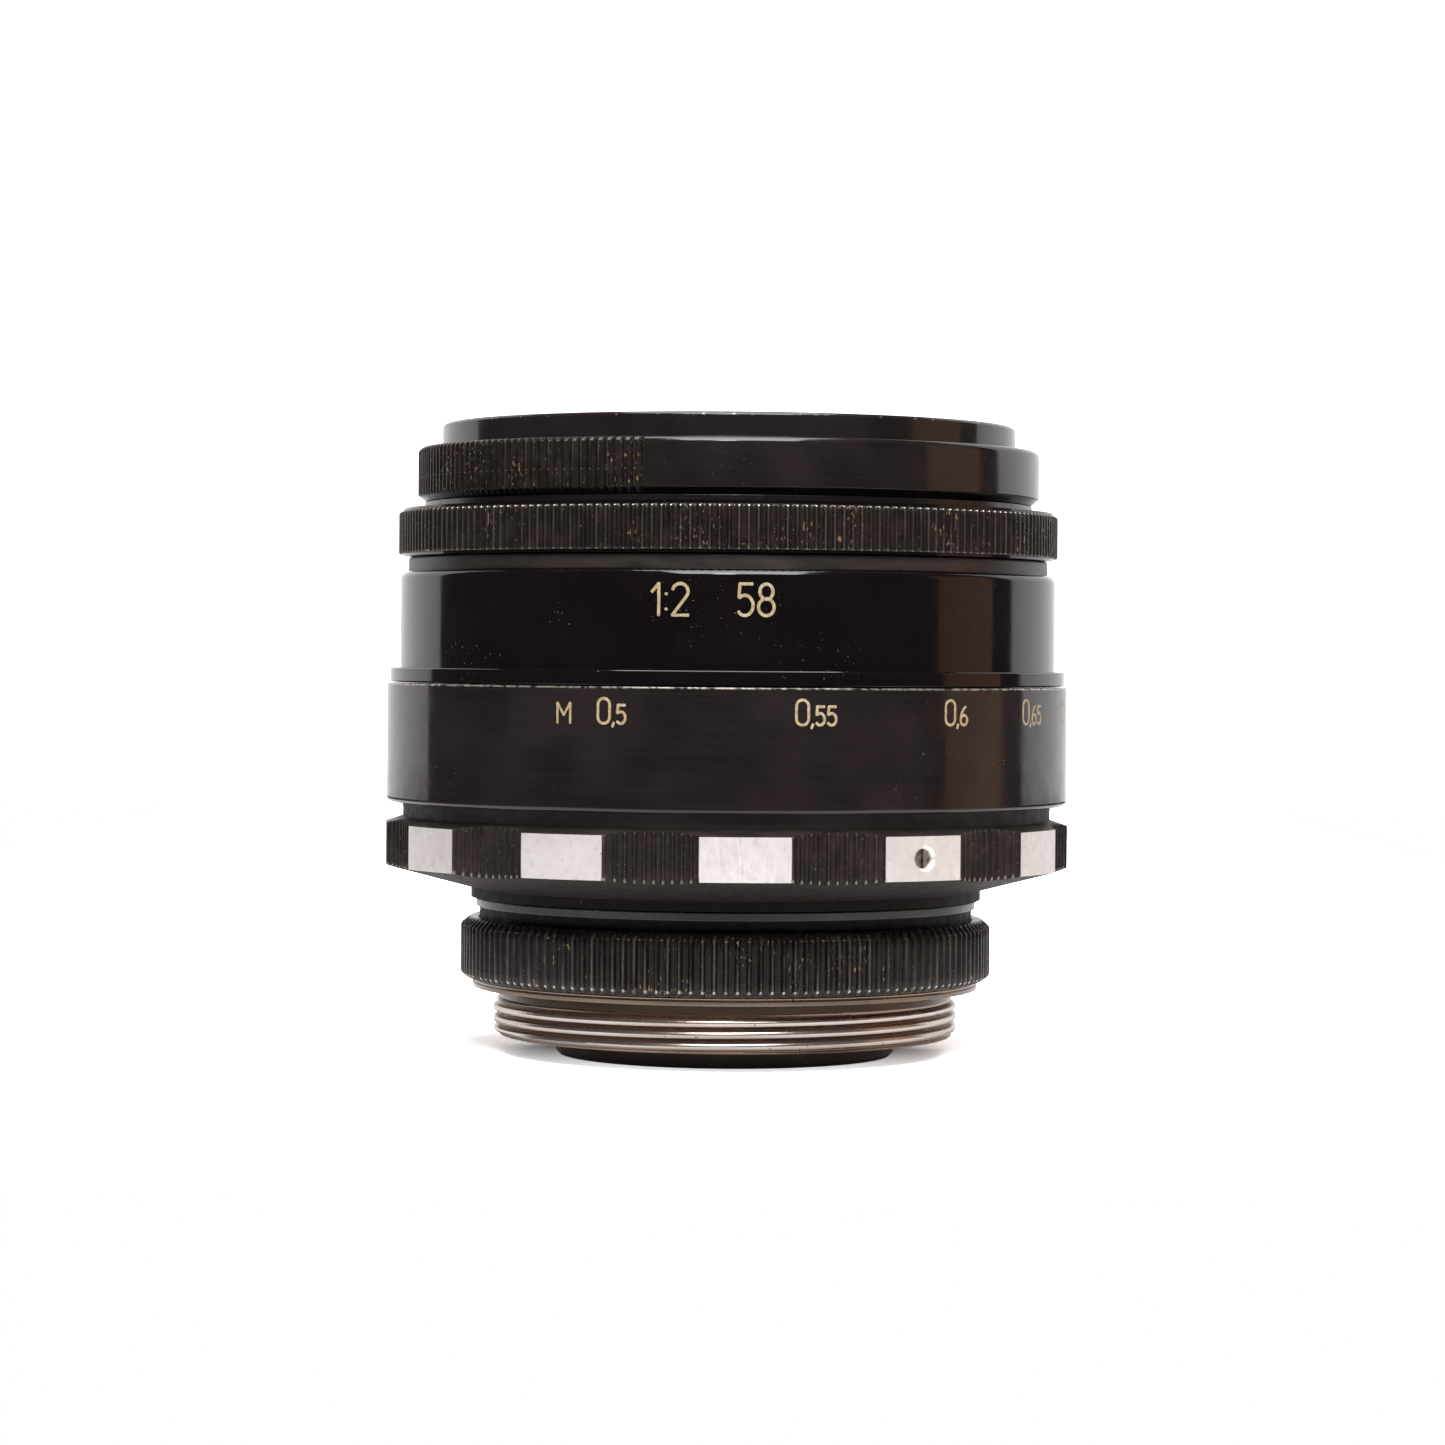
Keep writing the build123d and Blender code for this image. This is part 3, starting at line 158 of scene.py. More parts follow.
APERTURE_TEETH = 228
APERTURE_TOOTH_DEPTH = 0.3
PRESET_TEETH = 216
PRESET_TOOTH_DEPTH = 0.22
PRESET_GRIPS = ((-93, -15), (87, 165))
PRESET_FOOT = 0.55
PRESET_ROLL = 0.55
PRESET_LINE_HEIGHT = 2.07
PRESET_STEP_Z = 53.35
BODY_SHELL_R = 25.94
BODY_TOP_R = 25.24
FILTER_THREAD_R = 24.34
FILTER_PITCH = 0.5
FILTER_THREAD_DEPTH = 0.25
NAME_RING_BORE_R = 17.3
NAME_RING_LIP = 0.65
NAME_RING_FOOT_R = 22.3
NAME_RING_STEP_Z = 52.25
NAME_RING_INNER_HEIGHT = 1.05
NAME_RING_GROOVES = 14

# ---------------- camera and surroundings
CAMERA_DISTANCE = 375
CAMERA_HEIGHT = 36.1
CAMERA_SIDE = -0.4
CAMERA_PITCH = -0.93
CAMERA_ROLL = -0.45
PIXELS_PER_MM = 11.01
PHOTO_PIXELS = 1445
SENSOR_WIDTH = 36


# ---------------- mesh tools
def placed(radius, azimuth, height):
    """A point in metres from a radius, an azimuth in degrees and a height."""
    angle = math.radians(azimuth - 90)
    return Vector((radius * math.cos(angle), radius * math.sin(angle), height)) * MM


def scene_object(name, data):
    """Puts an object with this mesh, light or camera into the scene."""
    item = bpy.data.objects.new(name, data)
    bpy.context.scene.collection.objects.link(item)
    return item


def mesh_object(name, bm, materials=()):
    """Turns a bmesh into an object of the scene."""
    mesh = bpy.data.meshes.new(name)
    bm.to_mesh(mesh)
    bm.free()
    for material in materials:
        mesh.materials.append(material)
    return scene_object(name, mesh)


def add_piece(name, bm, body, materials, replaces=(), slot=ANODISED, crease=32):
    """Turns a bmesh into a piece that rides on a CAD body, smooth except over its creases."""
    bmesh.ops.remove_doubles(bm, verts=bm.verts, dist=2e-7)
    bmesh.ops.dissolve_degenerate(bm, edges=bm.edges, dist=1e-7)
    bmesh.ops.recalc_face_normals(bm, faces=bm.faces)
    limit = math.radians(crease)
    for edge in bm.edges:
        edge.smooth = edge.calc_face_angle(0) < limit
    for face in bm.faces:
        face.smooth = True
    piece = mesh_object(name, bm, materials)
    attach(piece, body)
    if replaces:
        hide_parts(*replaces)
    return piece


def cut(piece, cutters):
    """Cuts closed meshes out of a piece, for good."""
    for cutter in cutters:
        modifier = piece.modifiers.new("cut", "BOOLEAN")
        modifier.operation = "DIFFERENCE"
        modifier.solver = "EXACT"
        modifier.object = cutter
    bpy.context.view_layer.update()
    depsgraph = bpy.context.evaluated_depsgraph_get()
    result = bpy.data.meshes.new_from_object(piece.evaluated_get(depsgraph))
    piece.modifiers.clear()
    piece.data = result
    for cutter in cutters:
        bpy.data.objects.remove(cutter)


def cutter_object(bm, *materials):
    """A closed mesh to cut with, carrying the given materials."""
    bmesh.ops.recalc_face_normals(bm, faces=bm.faces)
    return mesh_object("cutter", bm, materials)


def rounded(corners, size=0.1, closed=True, wear=0.3):
    """An outline of (radius, height, edge): small arcs at the corners, held by support points.

    A corner is (radius, height), and may add its own rounding and its own wear.
    """
    points = []
    count = len(corners)
    area = sum(a[0] * b[1] - b[0] * a[1] for a, b in zip(corners, corners[1:] + corners[:1]))
    for i, (radius, height, *own) in enumerate(corners):
        here = Vector((radius, height))
        if not closed and i in (0, count - 1):
            points.append((radius, height, 0))
            continue
        back = Vector(corners[i - 1][:2]) - here
        on = Vector(corners[(i + 1) % count][:2]) - here
        bevel = min(own[0] if own else size, 0.39 * back.length, 0.39 * on.length)
        support = min(0.25 * bevel, 0.08)
        back.normalize()
        on.normalize()
        outside = (back.x * on.y - back.y * on.x) * area < 0
        edge = (own[1] if len(own) > 1 else wear) if outside else 0
        start = here + back * bevel
        end = here + on * bevel
        points.append((*(start + back * support), 0))
        steps = 7 if bevel > 0.2 else 4
        for step in range(steps):
            t = step / (steps - 1)
            bend = start * (1 - t) ** 2 + here * 2 * t * (1 - t) + end * t**2
            points.append((*bend, edge))
        points.append((*(end + on * support), 0))
    return points


def ring_rows(bm, rows, azimuths, seam=0, closed=False, material=0):
    """Faces between rows of points; rows[i][j] = (radius, height, edge) at azimuths[j].

    A seam of k rows joins the last column to the first one k rows on, as a screw thread does.
    material is a number, or a function that gives one for face (i, j).
    """
    layer = bm.verts.layers.float.get("edge") or bm.verts.layers.float.new("edge")
    grid = []
    for row in rows:
        line = []
        for azimuth, (radius, height, edge) in zip(azimuths, row):
            vertex = bm.verts.new(placed(radius, azimuth, height))
            vertex[layer] = edge
            line.append(vertex)
        grid.append(line)
    count = len(grid)
    for i in range(count if closed else count - 1):
        above = (i + 1) % count
        for j in range(len(azimuths)):
            if j + 1 < len(azimuths):
                ahead = (grid[i][j + 1], grid[above][j + 1])
            elif above + seam < count or closed:
                ahead = (grid[(i + seam) % count][0], grid[(above + seam) % count][0])
            else:
                continue
            face = bm.faces.new((grid[i][j], *ahead, grid[above][j]))
            face.material_index = material(i, j) if callable(material) else material


def spin(bm, outline, azimuths, **options):
    """Turns an outline of (radius, height, edge) about the axis."""
    ring_rows(bm, [[point] * len(azimuths) for point in outline], azimuths, **options)


def tube(bm, loops):
    """Faces between closed loops of vertices."""
    for low, high in zip(loops, loops[1:]):
        for k in range(len(low)):
            after = (k + 1) % len(low)
            bm.faces.new((low[k], low[after], high[after], high[k]))


def even(count):
    """Azimuths at equal steps all round."""
    return [360 * j / count for j in range(count)]


def turned(name, corners, body, materials, columns=360, size=0.1, **options):
    """A closed ring turned from one outline."""
    bm = bmesh.new()
    spin(bm, rounded(corners, size), even(columns), closed=True)
    add_piece(name, bm, body, materials, **options)


# ---------------- knurls and threads
TOOTH = ((0, 0), (0.11, 0), (0.33, 0.8), (0.555, 1), (0.78, 0.8))  # shares of pitch and depth


def tooth_columns(teeth):
    """Azimuths of the columns of a knurled ring, and the share of the depth at each."""
    azimuths = [360 * (i + share) / teeth for i in range(teeth) for share, depth in TOOTH]
    return azimuths, [depth for share, depth in TOOTH] * teeth


def knurled_rows(outline, shares, depth):
    """Rows of a ring whose outline points carry (radius, height, edge, knurl)."""
    rows = []
    for radius, height, edge, knurl in outline:
        worn = [edge * (1 - share) if knurl else edge for share in shares]
        rows.append([(radius - depth * knurl * t, height, crest) for t, crest in zip(shares, worn)])
    return rows


def measured(radius, height, *points):
    """Outline points given as (inset, rise, edge, knurl) from a radius and a height."""
    return [(radius - inset, height + rise, edge, knurl) for inset, rise, edge, knurl in points]


def in_grip(azimuth):
    """Whether an azimuth lies in one of the knurled sectors of the preset ring."""
    wrapped = (azimuth + 180) % 360 - 180
    return any(start <= wrapped <= end or start <= wrapped + 360 <= end for start, end in PRESET_GRIPS)


def thread_wave(turns):
    """Height of a worn thread's profile, 1 on the broad crest and 0 in the root."""
    apart = 2 * abs(turns - round(turns))
    if apart < 0.56:
        return 1 - 0.14 * (apart / 0.56) ** 2
    return max(0, 0.86 * (1 - (apart - 0.56) / 0.32))


def thread(bm, azimuths, bottom, top, crest_r, root_r, lead, ends, starts=1, steps=12, phase=0, material=0):
    """A screw thread that fades into a plain radius at each end.

    ends gives the plain radius at the bottom and at the top.
    """
    per_lead = steps * starts
    fading = 0.5 * lead / starts
    turns = int(math.ceil((top - bottom) / lead)) + 1
    rows = []
    for i in range(-per_lead, (turns + 1) * per_lead + 1):
        wave = thread_wave(i / steps)
        row = []
        for azimuth in azimuths:
            height = bottom + lead * (i / per_lead + azimuth / 360 + phase)
            height = min(max(height, bottom), top)
            fade_bottom = min((height - bottom) / fading, 1)
            fade_top = min((top - height) / fading, 1)
            radius = root_r + (crest_r - root_r) * wave
            radius = ends[0] + (radius - ends[0]) * fade_bottom
            radius = ends[1] + (radius - ends[1]) * fade_top
            worn = wave * max(0, 2 * min(fade_bottom, fade_top) - 1) if wave > 0.85 else 0
            row.append((radius, height, worn))
        rows.append(row)
    ring_rows(bm, rows, azimuths, seam=per_lead, material=material)


# ---------------- materials
class Nodes:
    """Puts shader nodes into the tree of a material or a world."""

    def __init__(self, owner):
        owner.use_nodes = True
        self.tree = owner.node_tree

    def node(self, kind, *values, **settings):
        """Adds a node and returns its outputs; values feed its sockets in order, None skips one."""
        node = self.tree.nodes.new(kind)
        for key, value in settings.items():
            setattr(node, key, value)
        for socket, value in zip(node.inputs, values):
            if value is not None:
                self.feed(socket, value)
        return node.outputs

    def feed(self, socket, value):
        if isinstance(value, bpy.types.NodeSocket):
            self.tree.links.new(value, socket)
        else:
            socket.default_value = value

    def maths(self, operation, *values):
        return self.node("ShaderNodeMath", *values, operation=operation)[0]

    def times(self, first, second):
        return self.maths("MULTIPLY", first, second)

    def between(self, source, low, high, bottom=0, top=1):
        """Goes from bottom to top while the source goes from low to high."""
        return self.node("ShaderNodeMapRange", source, low, high, bottom, top)[0]

    def mix(self, factor, first, second):
        """Blends two colours, or two values when one of them is a plain number."""
        if isinstance(first, (int, float)) or isinstance(second, (int, float)):
            return self.node("ShaderNodeMix", factor, None, first, second, data_type="FLOAT")[0]
        skipped = [None] * 5
        return self.node("ShaderNodeMix", factor, *skipped, first, second, data_type="RGBA")[2]


WORN_METAL = (0.55, 0.5, 0.45)
WORN_BRASS = (0.38, 0.26, 0.13)
DUST = (0.16, 0.145, 0.13)


class Look(Nodes):
    """A procedural material: one Principled shader fed by patterns measured in millimetres."""

    def __init__(self, name, colour, metallic=0, roughness=0.4, **constants):
        self.material = bpy.data.materials.new(name)
        super().__init__(self.material)
        self.shader = self.tree.nodes["Principled BSDF"]
        self.colour = (*colour, 1)
        self.metallic = metallic
        self.roughness = roughness
        self.height = None
        for socket, value in constants.items():
            self.shader.inputs[socket.replace("_", " ")].default_value = value
        metres = self.node("ShaderNodeTexCoord")["Object"]
        self.space = self.vector("SCALE", metres, None, None, 1 / MM)
        self.wound_space = None

    def vector(self, operation, *values):
        return self.node("ShaderNodeVectorMath", *values, operation=operation)[0]

    def around(self):
        """Coordinates unrolled from the turned surface: along its girth, radius, height."""
        if self.wound_space is None:
            x, y, z = self.node("ShaderNodeSeparateXYZ", self.space)
            angle = self.maths("ARCTAN2", x, self.times(y, -1))
            radius = self.maths("SQRT", self.maths("ADD", self.times(x, x), self.times(y, y)))
            girth = self.times(angle, GRIP_R)
            self.wound_space = self.node("ShaderNodeCombineXYZ", girth, radius, z)[0]
        return self.wound_space

    def noise(self, size, stretch=(1, 1, 1), detail=3, wound=False, seed=0):
        """Noise with features of about the given size, longer along the stretched axes.

        Wound noise runs along the girth, the radius and the height instead of x, y and z.
        """
        space = self.around() if wound else self.space
        scaled = self.vector("MULTIPLY", space, tuple(1 / (size * s) for s in stretch))
        moved = self.vector("ADD", scaled, (seed, seed * 1.7, seed * 2.3))
        return self.node("ShaderNodeTexNoise", moved, None, 1, detail)["Fac"]

    def patches(self, size, low, high, bottom=0, top=1, **pattern):
        """Noise that goes from bottom to top between two of its levels."""
        return self.between(self.noise(size, **pattern), low, high, bottom, top)

    def edge(self):
        return self.node("ShaderNodeAttribute", attribute_name="edge")["Fac"]

    def cover(self, mask, colour, metallic, roughness):
        """Lays another surface over this one where the mask is 1."""
        self.tint(mask, colour)
        self.metallic = self.mix(mask, self.metallic, metallic)
        self.roughness = self.mix(mask, self.roughness, roughness)

    def tint(self, mask, colour):
        self.colour = self.mix(mask, self.colour, (*colour, 1))

    def bump(self, source, depth):
        """Adds relief; depth is in millimetres."""
        relief = self.times(source, depth)
        self.height = relief if self.height is None else self.maths("ADD", self.height, relief)

    def turning_marks(self, size, length, depth):
        """Fine grooves round the axis."""
        self.bump(self.noise(size, stretch=(length, 1, 1), detail=2, wound=True), depth)

    def dust(self, seed, metallic, roughness, amount=0):
        """Sparse dust specks and a few short hairs, mostly in patches."""
        places = self.patches(9, 0.54, 0.66, detail=2, seed=seed)
        dots = self.patches(0.17, 0.815 - amount, 0.84 - amount, detail=0, seed=seed + 3)
        hairs = self.patches(0.08, 0.775, 0.8, stretch=(1, 1, 8), detail=1, wound=True, seed=seed + 5)
        few = self.patches(2.2, 0.62, 0.66, detail=0, seed=seed + 9)
        both = self.maths("MAXIMUM", dots, self.times(hairs, few))
        self.cover(self.times(both, places), DUST, metallic, roughness)

    def chips(self):
        """Bare metal along convex edges: the more of it, the higher the edge attribute."""
        raised = self.maths("ADD", self.noise(0.55, detail=5, seed=8), self.times(self.edge(), 0.5))
        self.cover(self.times(self.between(raised, 0.98, 1.12), 0.7), WORN_METAL, 1, 0.4)

    def specks(self, size, seed, threshold):
        return self.patches(size, threshold, threshold + 0.03, detail=0, seed=seed)

    def done(self):
        sockets = self.shader.inputs
        self.feed(sockets["Base Color"], self.colour)
        self.feed(sockets["Metallic"], self.metallic)
        self.feed(sockets["Roughness"], self.roughness)
        if self.height is not None:
            self.feed(sockets["Normal"], self.node("ShaderNodeBump", 1, MM, None, self.height)[0])
        return self.material


def black_coat(name, colour, greyed, mottling, shine, marks, dust, streaks=None):
    """Anodised black: greyed in patches, with turning marks, dust and worn edges.

    shine is the size of its patches and their least and greatest roughness.
    """
    look = Look(name, colour, IOR=1.5)
    look.tint(look.patches(**mottling), greyed)
    if streaks:
        mask = look.patches(0.14, 0.45, 0.75, stretch=(60, 1, 1), detail=3, wound=True)
        look.tint(look.times(mask, 0.5), streaks)
    size, smooth, rough = shine
    look.roughness = look.patches(size, 0.35, 0.7, smooth, rough, detail=4)
    look.turning_marks(*marks)
    look.dust(*dust)
    look.chips()
    return look.done()


def black_dusty():
    """Black in the corners that fingers don't reach, greyed by dust and dried oil."""
    look = Look("black_dusty", (0.0085, 0.0066, 0.0062), roughness=0.34, IOR=1.5)
    film = look.patches(1.4, 0.35, 0.75, 0.1, 0.34, stretch=(3, 1, 1), detail=5, wound=True)
    look.cover(film, (0.13, 0.096, 0.09), 0, 0.6)
    look.dust(14, 0, 0.8, amount=0.04)
    look.bump(look.noise(0.12, detail=3), 0.004)
    return look.done()


def black_knurl(name, colour, dusted, crest_wear, fleck_share):
    """Black teeth with dust in the valleys, rubbed crests, brass flecks and bare tips."""
    look = Look(name, colour, IOR=1.4)
    look.tint(look.patches(1.8, 0.45, 0.66, detail=3), dusted)
    valley = look.between(look.edge(), 0.05, 0.3, 0.3, 0.16)
    look.roughness = look.maths("ADD", valley, look.patches(0.8, 0.35, 0.7, 0, 0.08, detail=4, seed=3))
    look.bump(look.noise(0.18, detail=3, seed=1), 0.002)
    crest = look.between(look.edge(), 0.34, 0.47)
    rubbed = look.patches(1.1, 0.42, 0.64, 0.06, crest_wear, stretch=(1, 1, 5), detail=2, seed=15)
    look.cover(look.times(crest, rubbed), (0.15, 0.13, 0.12), 0.6, 0.34)
    places = look.patches(4.5, 0.66 - fleck_share, 0.72 - fleck_share, detail=1, seed=5)
    flecks = look.patches(0.17, 0.72, 0.75, stretch=(1, 1, 2.6), detail=0, seed=12)
    look.cover(look.times(look.times(places, flecks), 0.85), WORN_BRASS, 0.8, 0.42)
    look.cover(look.specks(0.12, 11, 0.8), DUST, 0, 0.8)
    tips = look.between(look.edge(), 0.7, 0.95)
    look.cover(look.times(tips, look.patches(0.8, 0.3, 0.5, seed=13)), WORN_METAL, 1, 0.3)
    return look.done()


def worn_metal(name, colour, stained, metallic, shine):
    """Metal that has lost its black, stained brown where the wear is least."""
    look = Look(name, colour, metallic=metallic)
    look.tint(look.patches(4, 0.4, 0.64, stretch=(5, 1, 1), detail=3, wound=True), stained)
    streaked = {"stretch": (10, 1, 1), "detail": 2, "wound": True}
    look.roughness = look.patches(1.2, 0.3, 0.7, shine, shine + 0.1, **streaked)
    look.turning_marks(0.1, 90, 0.0006)
    polished = look.patches(2, 0.3, 0.5, 0.6, 1, seed=3, **streaked)
    look.cover(look.times(look.edge(), polished), (0.62, 0.55, 0.5), 1, shine + 0.04)
    look.cover(look.specks(0.22, 9, 0.8), (0.03, 0.022, 0.018), 0.3, 0.7)
    return look.done()


def land_metal():
    look = Look("turned_aluminium", (0.93, 0.885, 0.86), metallic=0.7)
    look.tint(look.patches(3.5, 0.42, 0.66, detail=3), (0.86, 0.81, 0.78))
    look.roughness = look.patches(0.3, 0.3, 0.7, 0.38, 0.48, stretch=(1, 1, 6), detail=3, wound=True)
    look.bump(look.noise(0.1, stretch=(1, 1, 40), detail=2, wound=True), 0.0012)
    look.tint(look.times(look.between(look.edge(), 0.1, 0.5), 0.8), (0.16, 0.075, 0.04))
    look.tint(look.patches(0.8, 0.5, 0.75, detail=3, seed=7), (0.8, 0.74, 0.7))
    look.cover(look.specks(0.18, 4, 0.84), (0.42, 0.38, 0.34), 0.5, 0.6)
    return look.done()


def matt_black(name, colour, ior=1.4):
    look = Look(name, colour, IOR=ior)
    look.roughness = look.patches(1, 0.3, 0.7, 0.5, 0.7, detail=4)
    look.turning_marks(0.25, 60, 0.004)
    look.dust(21, 0, 0.8)
    return look.done()


def plain_metal(name, colour, stained, size, roughness=0.4, low=0.4, high=0.65, detail=4):
    """Clean metal with stained patches of about a given size."""
    look = Look(name, colour, metallic=1, roughness=roughness)
    look.tint(look.patches(size, low, high, detail=detail), stained)
    return look


def bare_metal():
    look = plain_metal("bare_aluminium", (0.62, 0.61, 0.59), (0.45, 0.44, 0.42), 2, 0.38)
    look.turning_marks(0.12, 60, 0.003)
    return look.done()


def greased_brass():
    look = Look("greased_brass", (0.34, 0.25, 0.13), metallic=1, roughness=0.3)
    grease = look.patches(2.2, 0.42, 0.6, stretch=(2.5, 1, 1), detail=4, wound=True)
    look.cover(grease, (0.03, 0.021, 0.013), 0.2, 0.22)
    look.turning_marks(0.12, 50, 0.003)
    rubbed = look.patches(0.9, 0.4, 0.6, seed=2)
    look.cover(look.times(look.edge(), rubbed), (0.66, 0.5, 0.26), 1, 0.25)
    return look.done()


def brass():
    look = plain_metal("brass", (0.66, 0.48, 0.22), (0.42, 0.29, 0.13), 1.2, 0.34)
    look.bump(look.noise(0.15), 0.003)
    return look.done()


def steel():
    look = plain_metal("steel", (0.48, 0.45, 0.42), (0.22, 0.195, 0.175), 0.5, 0.3, low=0.42, high=0.62)
    look.bump(look.noise(0.12, detail=3), 0.006)
    return look.done()


def blued_steel():
    look = plain_metal("blued_steel", (0.035, 0.037, 0.045), (0.055, 0.052, 0.055), 3, detail=3)
    look.roughness = look.patches(0.6, 0.3, 0.7, 0.28, 0.45, stretch=(4, 1, 1), detail=3)
    return look.done()


def paint():
    look = Look("engraving_paint", (0.37, 0.27, 0.135), roughness=0.55)
    look.tint(look.patches(0.3, 0.42, 0.6, detail=4), (0.48, 0.4, 0.25))
    look.tint(look.patches(0.24, 0.6, 0.7, detail=2, seed=6), (0.24, 0.15, 0.08))
    look.bump(look.noise(0.1), 0.006)
    return look.done()


def coated_glass():
    coating = {"Thin_Film_Thickness": 125, "Thin_Film_IOR": 1.38}
    look = Look("coated_glass", (0.985, 0.99, 0.98), IOR=1.6, Transmission_Weight=1, **coating)
    look.roughness = look.patches(2.5, 0.55, 0.9, 0, 0.03, detail=4)
    return look.done()


BLACK = black_coat(
    "black_gloss", (0.003, 0.0016, 0.002), (0.0048, 0.003, 0.0033), {"size": 7, "low": 0.4, "high": 0.7},
    shine=(2.5, 0.06, 0.12), marks=(0.22, 60, 0.0005), dust=(1, 0.2, 0.6),
)
HANDLED = black_coat(
    "black_handled", (0.0098, 0.0066, 0.0068), (0.018, 0.0128, 0.0128),
    {"size": 8, "low": 0.38, "high": 0.62, "detail": 2, "seed": 2},
    shine=(2, 0.08, 0.16), marks=(0.14, 60, 0.0008), dust=(31, 0.2, 0.6), streaks=(0.022, 0.0155, 0.015),
)
SATIN = black_coat(
    "black_satin", (0.009, 0.0066, 0.0066), (0.014, 0.0106, 0.0102),
    {"size": 4, "low": 0.4, "high": 0.7, "seed": 4},
    shine=(1.2, 0.2, 0.32), marks=(0.15, 80, 0.001), dust=(6, 0, 0.7),
)
DUSTY = black_dusty()
KNURL = black_knurl("black_knurl", (0.0105, 0.0072, 0.0066), (0.019, 0.013, 0.0115), 0.42, 0.14)
MOUNT_KNURL = black_knurl("black_mount_knurl", (0.008, 0.0052, 0.0046), (0.015, 0.01, 0.0088), 0.6, 0.07)
GRIP_KNURL = black_knurl("black_grip_knurl", (0.0165, 0.0118, 0.0112), (0.027, 0.0195, 0.018), 0.3, 0)
THREAD = worn_metal("worn_thread_metal", (0.3, 0.205, 0.155), (0.2, 0.135, 0.1), 0.75, 0.2)
FLANGE = worn_metal("worn_flange_metal", (0.2, 0.15, 0.11), (0.135, 0.1, 0.074), 1, 0.16)
# The worn metal of the thread and flange made much darker for the relief under the seat rim: painted shade.
SHADED_RELIEF_METAL = worn_metal("relief_metal_painted_shade", (0.055, 0.036, 0.026), (0.035, 0.023, 0.017), 1, 0.2)
LAND = land_metal()
MATT = matt_black("matt_black", (0.0165, 0.0108, 0.0096))
# A lighter copy of the matt black for the rear cell and its retainer, which stand in the floor's shadow:
# painted fill light.
FILL_LIT_BLACK = matt_black("matt_black_painted_fill_light", (0.06, 0.038, 0.034))
SHADED = matt_black("shaded_black", (0.0045, 0.0028, 0.0027), ior=1.25)
BARE = bare_metal()
HELICOID = greased_brass()
BRASS = brass()
STEEL = steel()
BLUED = blued_steel()
PAINT = paint()
GLASS = coated_glass()


# ---------------- mount and guide barrel
def mount_flange():
    """The relief over the thread and the seat with its grooved, stepped rim."""
    groove_z = SEAT_Z + SEAT_GROOVE_DEPTH
    step_z = SEAT_Z + SEAT_STEP_HEIGHT
    grip_z = SEAT_Z + SEAT_RIM_HEIGHT
    corners = [
        (RELIEF_R, THREAD_TOP_Z), (RELIEF_R, groove_z), (SEAT_GROOVE_R, groove_z),
        (SEAT_GROOVE_R, SEAT_Z), (SEAT_RIM_R, SEAT_Z),
        (SEAT_RIM_R, step_z, 0.17, 0.5),
        (SEAT_RIM_R - SEAT_STEP, step_z), (SEAT_RIM_R - SEAT_STEP, grip_z),
        (MOUNT_R - MOUNT_TOOTH_DEPTH, grip_z + 0.3),
    ]
    outline = rounded(corners, 0.12, closed=False)
    outline.insert(1, (RELIEF_R, THREAD_TOP_Z + 0.04, 0))  # keeps the thread's shading off the relief
    return outline


def mount_grip():
    """Outline of the knurled grip, bevelled at both ends."""
    foot_z = SEAT_Z + SEAT_RIM_HEIGHT
    foot = [(0.12, 0.52, 1, 0.8), (0.03, 0.64, 1, 1), (0, 0.76, 0.6, 1), (0, 1.3, 0.5, 1)]
    top = [(0, -1.3, 0.5, 1), (0, -0.78, 0.5, 1), (0.03, -0.66, 0.75, 1), (0.12, -0.55, 0.7, 0.9)]
    return [
        (MOUNT_R - MOUNT_TOOTH_DEPTH, foot_z + 0.3, 0, 0),
        *measured(MOUNT_R, foot_z, *foot),
        *measured(MOUNT_R, MOUNT_TOP_Z, *top),
        (MOUNT_TOP_R + 0.12, MOUNT_TOP_Z - 0.06, 0.3, 0.1),
        (MOUNT_TOP_R, MOUNT_TOP_Z, 0, 0),
    ]


def mount_ring():
    azimuths, shares = tooth_columns(MOUNT_TEETH)
    root_r = THREAD_R - THREAD_DEPTH
    bm = bmesh.new()
    span = (THREAD_END_Z, THREAD_TOP_Z)
    form = {"ends": (root_r, RELIEF_R), "phase": THREAD_PHASE, "material": 1}
    thread(bm, azimuths, *span, THREAD_R, root_r, THREAD_PITCH, **form)
    flange = mount_flange()

    def flange_material(i, j):
        # Faces inside the groove radius, the relief under the rim, take the darker metal: painted shade.
        return 3 if max(flange[i][0], flange[i + 1][0]) < SEAT_GROOVE_R else 4

    spin(bm, flange, azimuths, material=flange_material)
    ring_rows(bm, knurled_rows(mount_grip(), shares, MOUNT_TOOTH_DEPTH), azimuths)
    inside = [
        (MOUNT_TOP_R, MOUNT_TOP_Z), (MOUNT_FOOT_R + RUN, MOUNT_TOP_Z),
        (MOUNT_FOOT_R + RUN, MOUNT_FOOT_Z), (THROAT_R, MOUNT_FOOT_Z), (THROAT_R, THREAD_END_Z),
        (root_r, THREAD_END_Z),
    ]
    spin(bm, rounded(inside, 0.15, closed=False), azimuths, material=2)
    looks = (MOUNT_KNURL, THREAD, SATIN, SHADED_RELIEF_METAL, FLANGE)
    ring = add_piece("mount_thread_ring", bm, "mount_base", looks, replaces=("mount_ring",))
    cut(ring, [screw_sink(i) for i in range(MOUNT_SCREWS)])


def screw_sink(index):
    """A countersink for one screw of the mount ring."""
    bm = bmesh.new()
    wide = (MOUNT_SCREW_HEAD_R + 0.7) * MM
    narrow = (MOUNT_SCREW_HEAD_R - 0.6) * MM
    depth = MOUNT_SINK_DEPTH * MM
    bmesh.ops.create_cone(bm, cap_ends=True, segments=40, radius1=wide, radius2=narrow, depth=depth)
    azimuth = 180 + 360 * index / MOUNT_SCREWS
    centre = placed(MOUNT_SCREW_CIRCLE_R, azimuth, SEAT_Z + SEAT_GROOVE_DEPTH)
    bmesh.ops.translate(bm, verts=bm.verts, vec=centre)
    return cutter_object(bm)


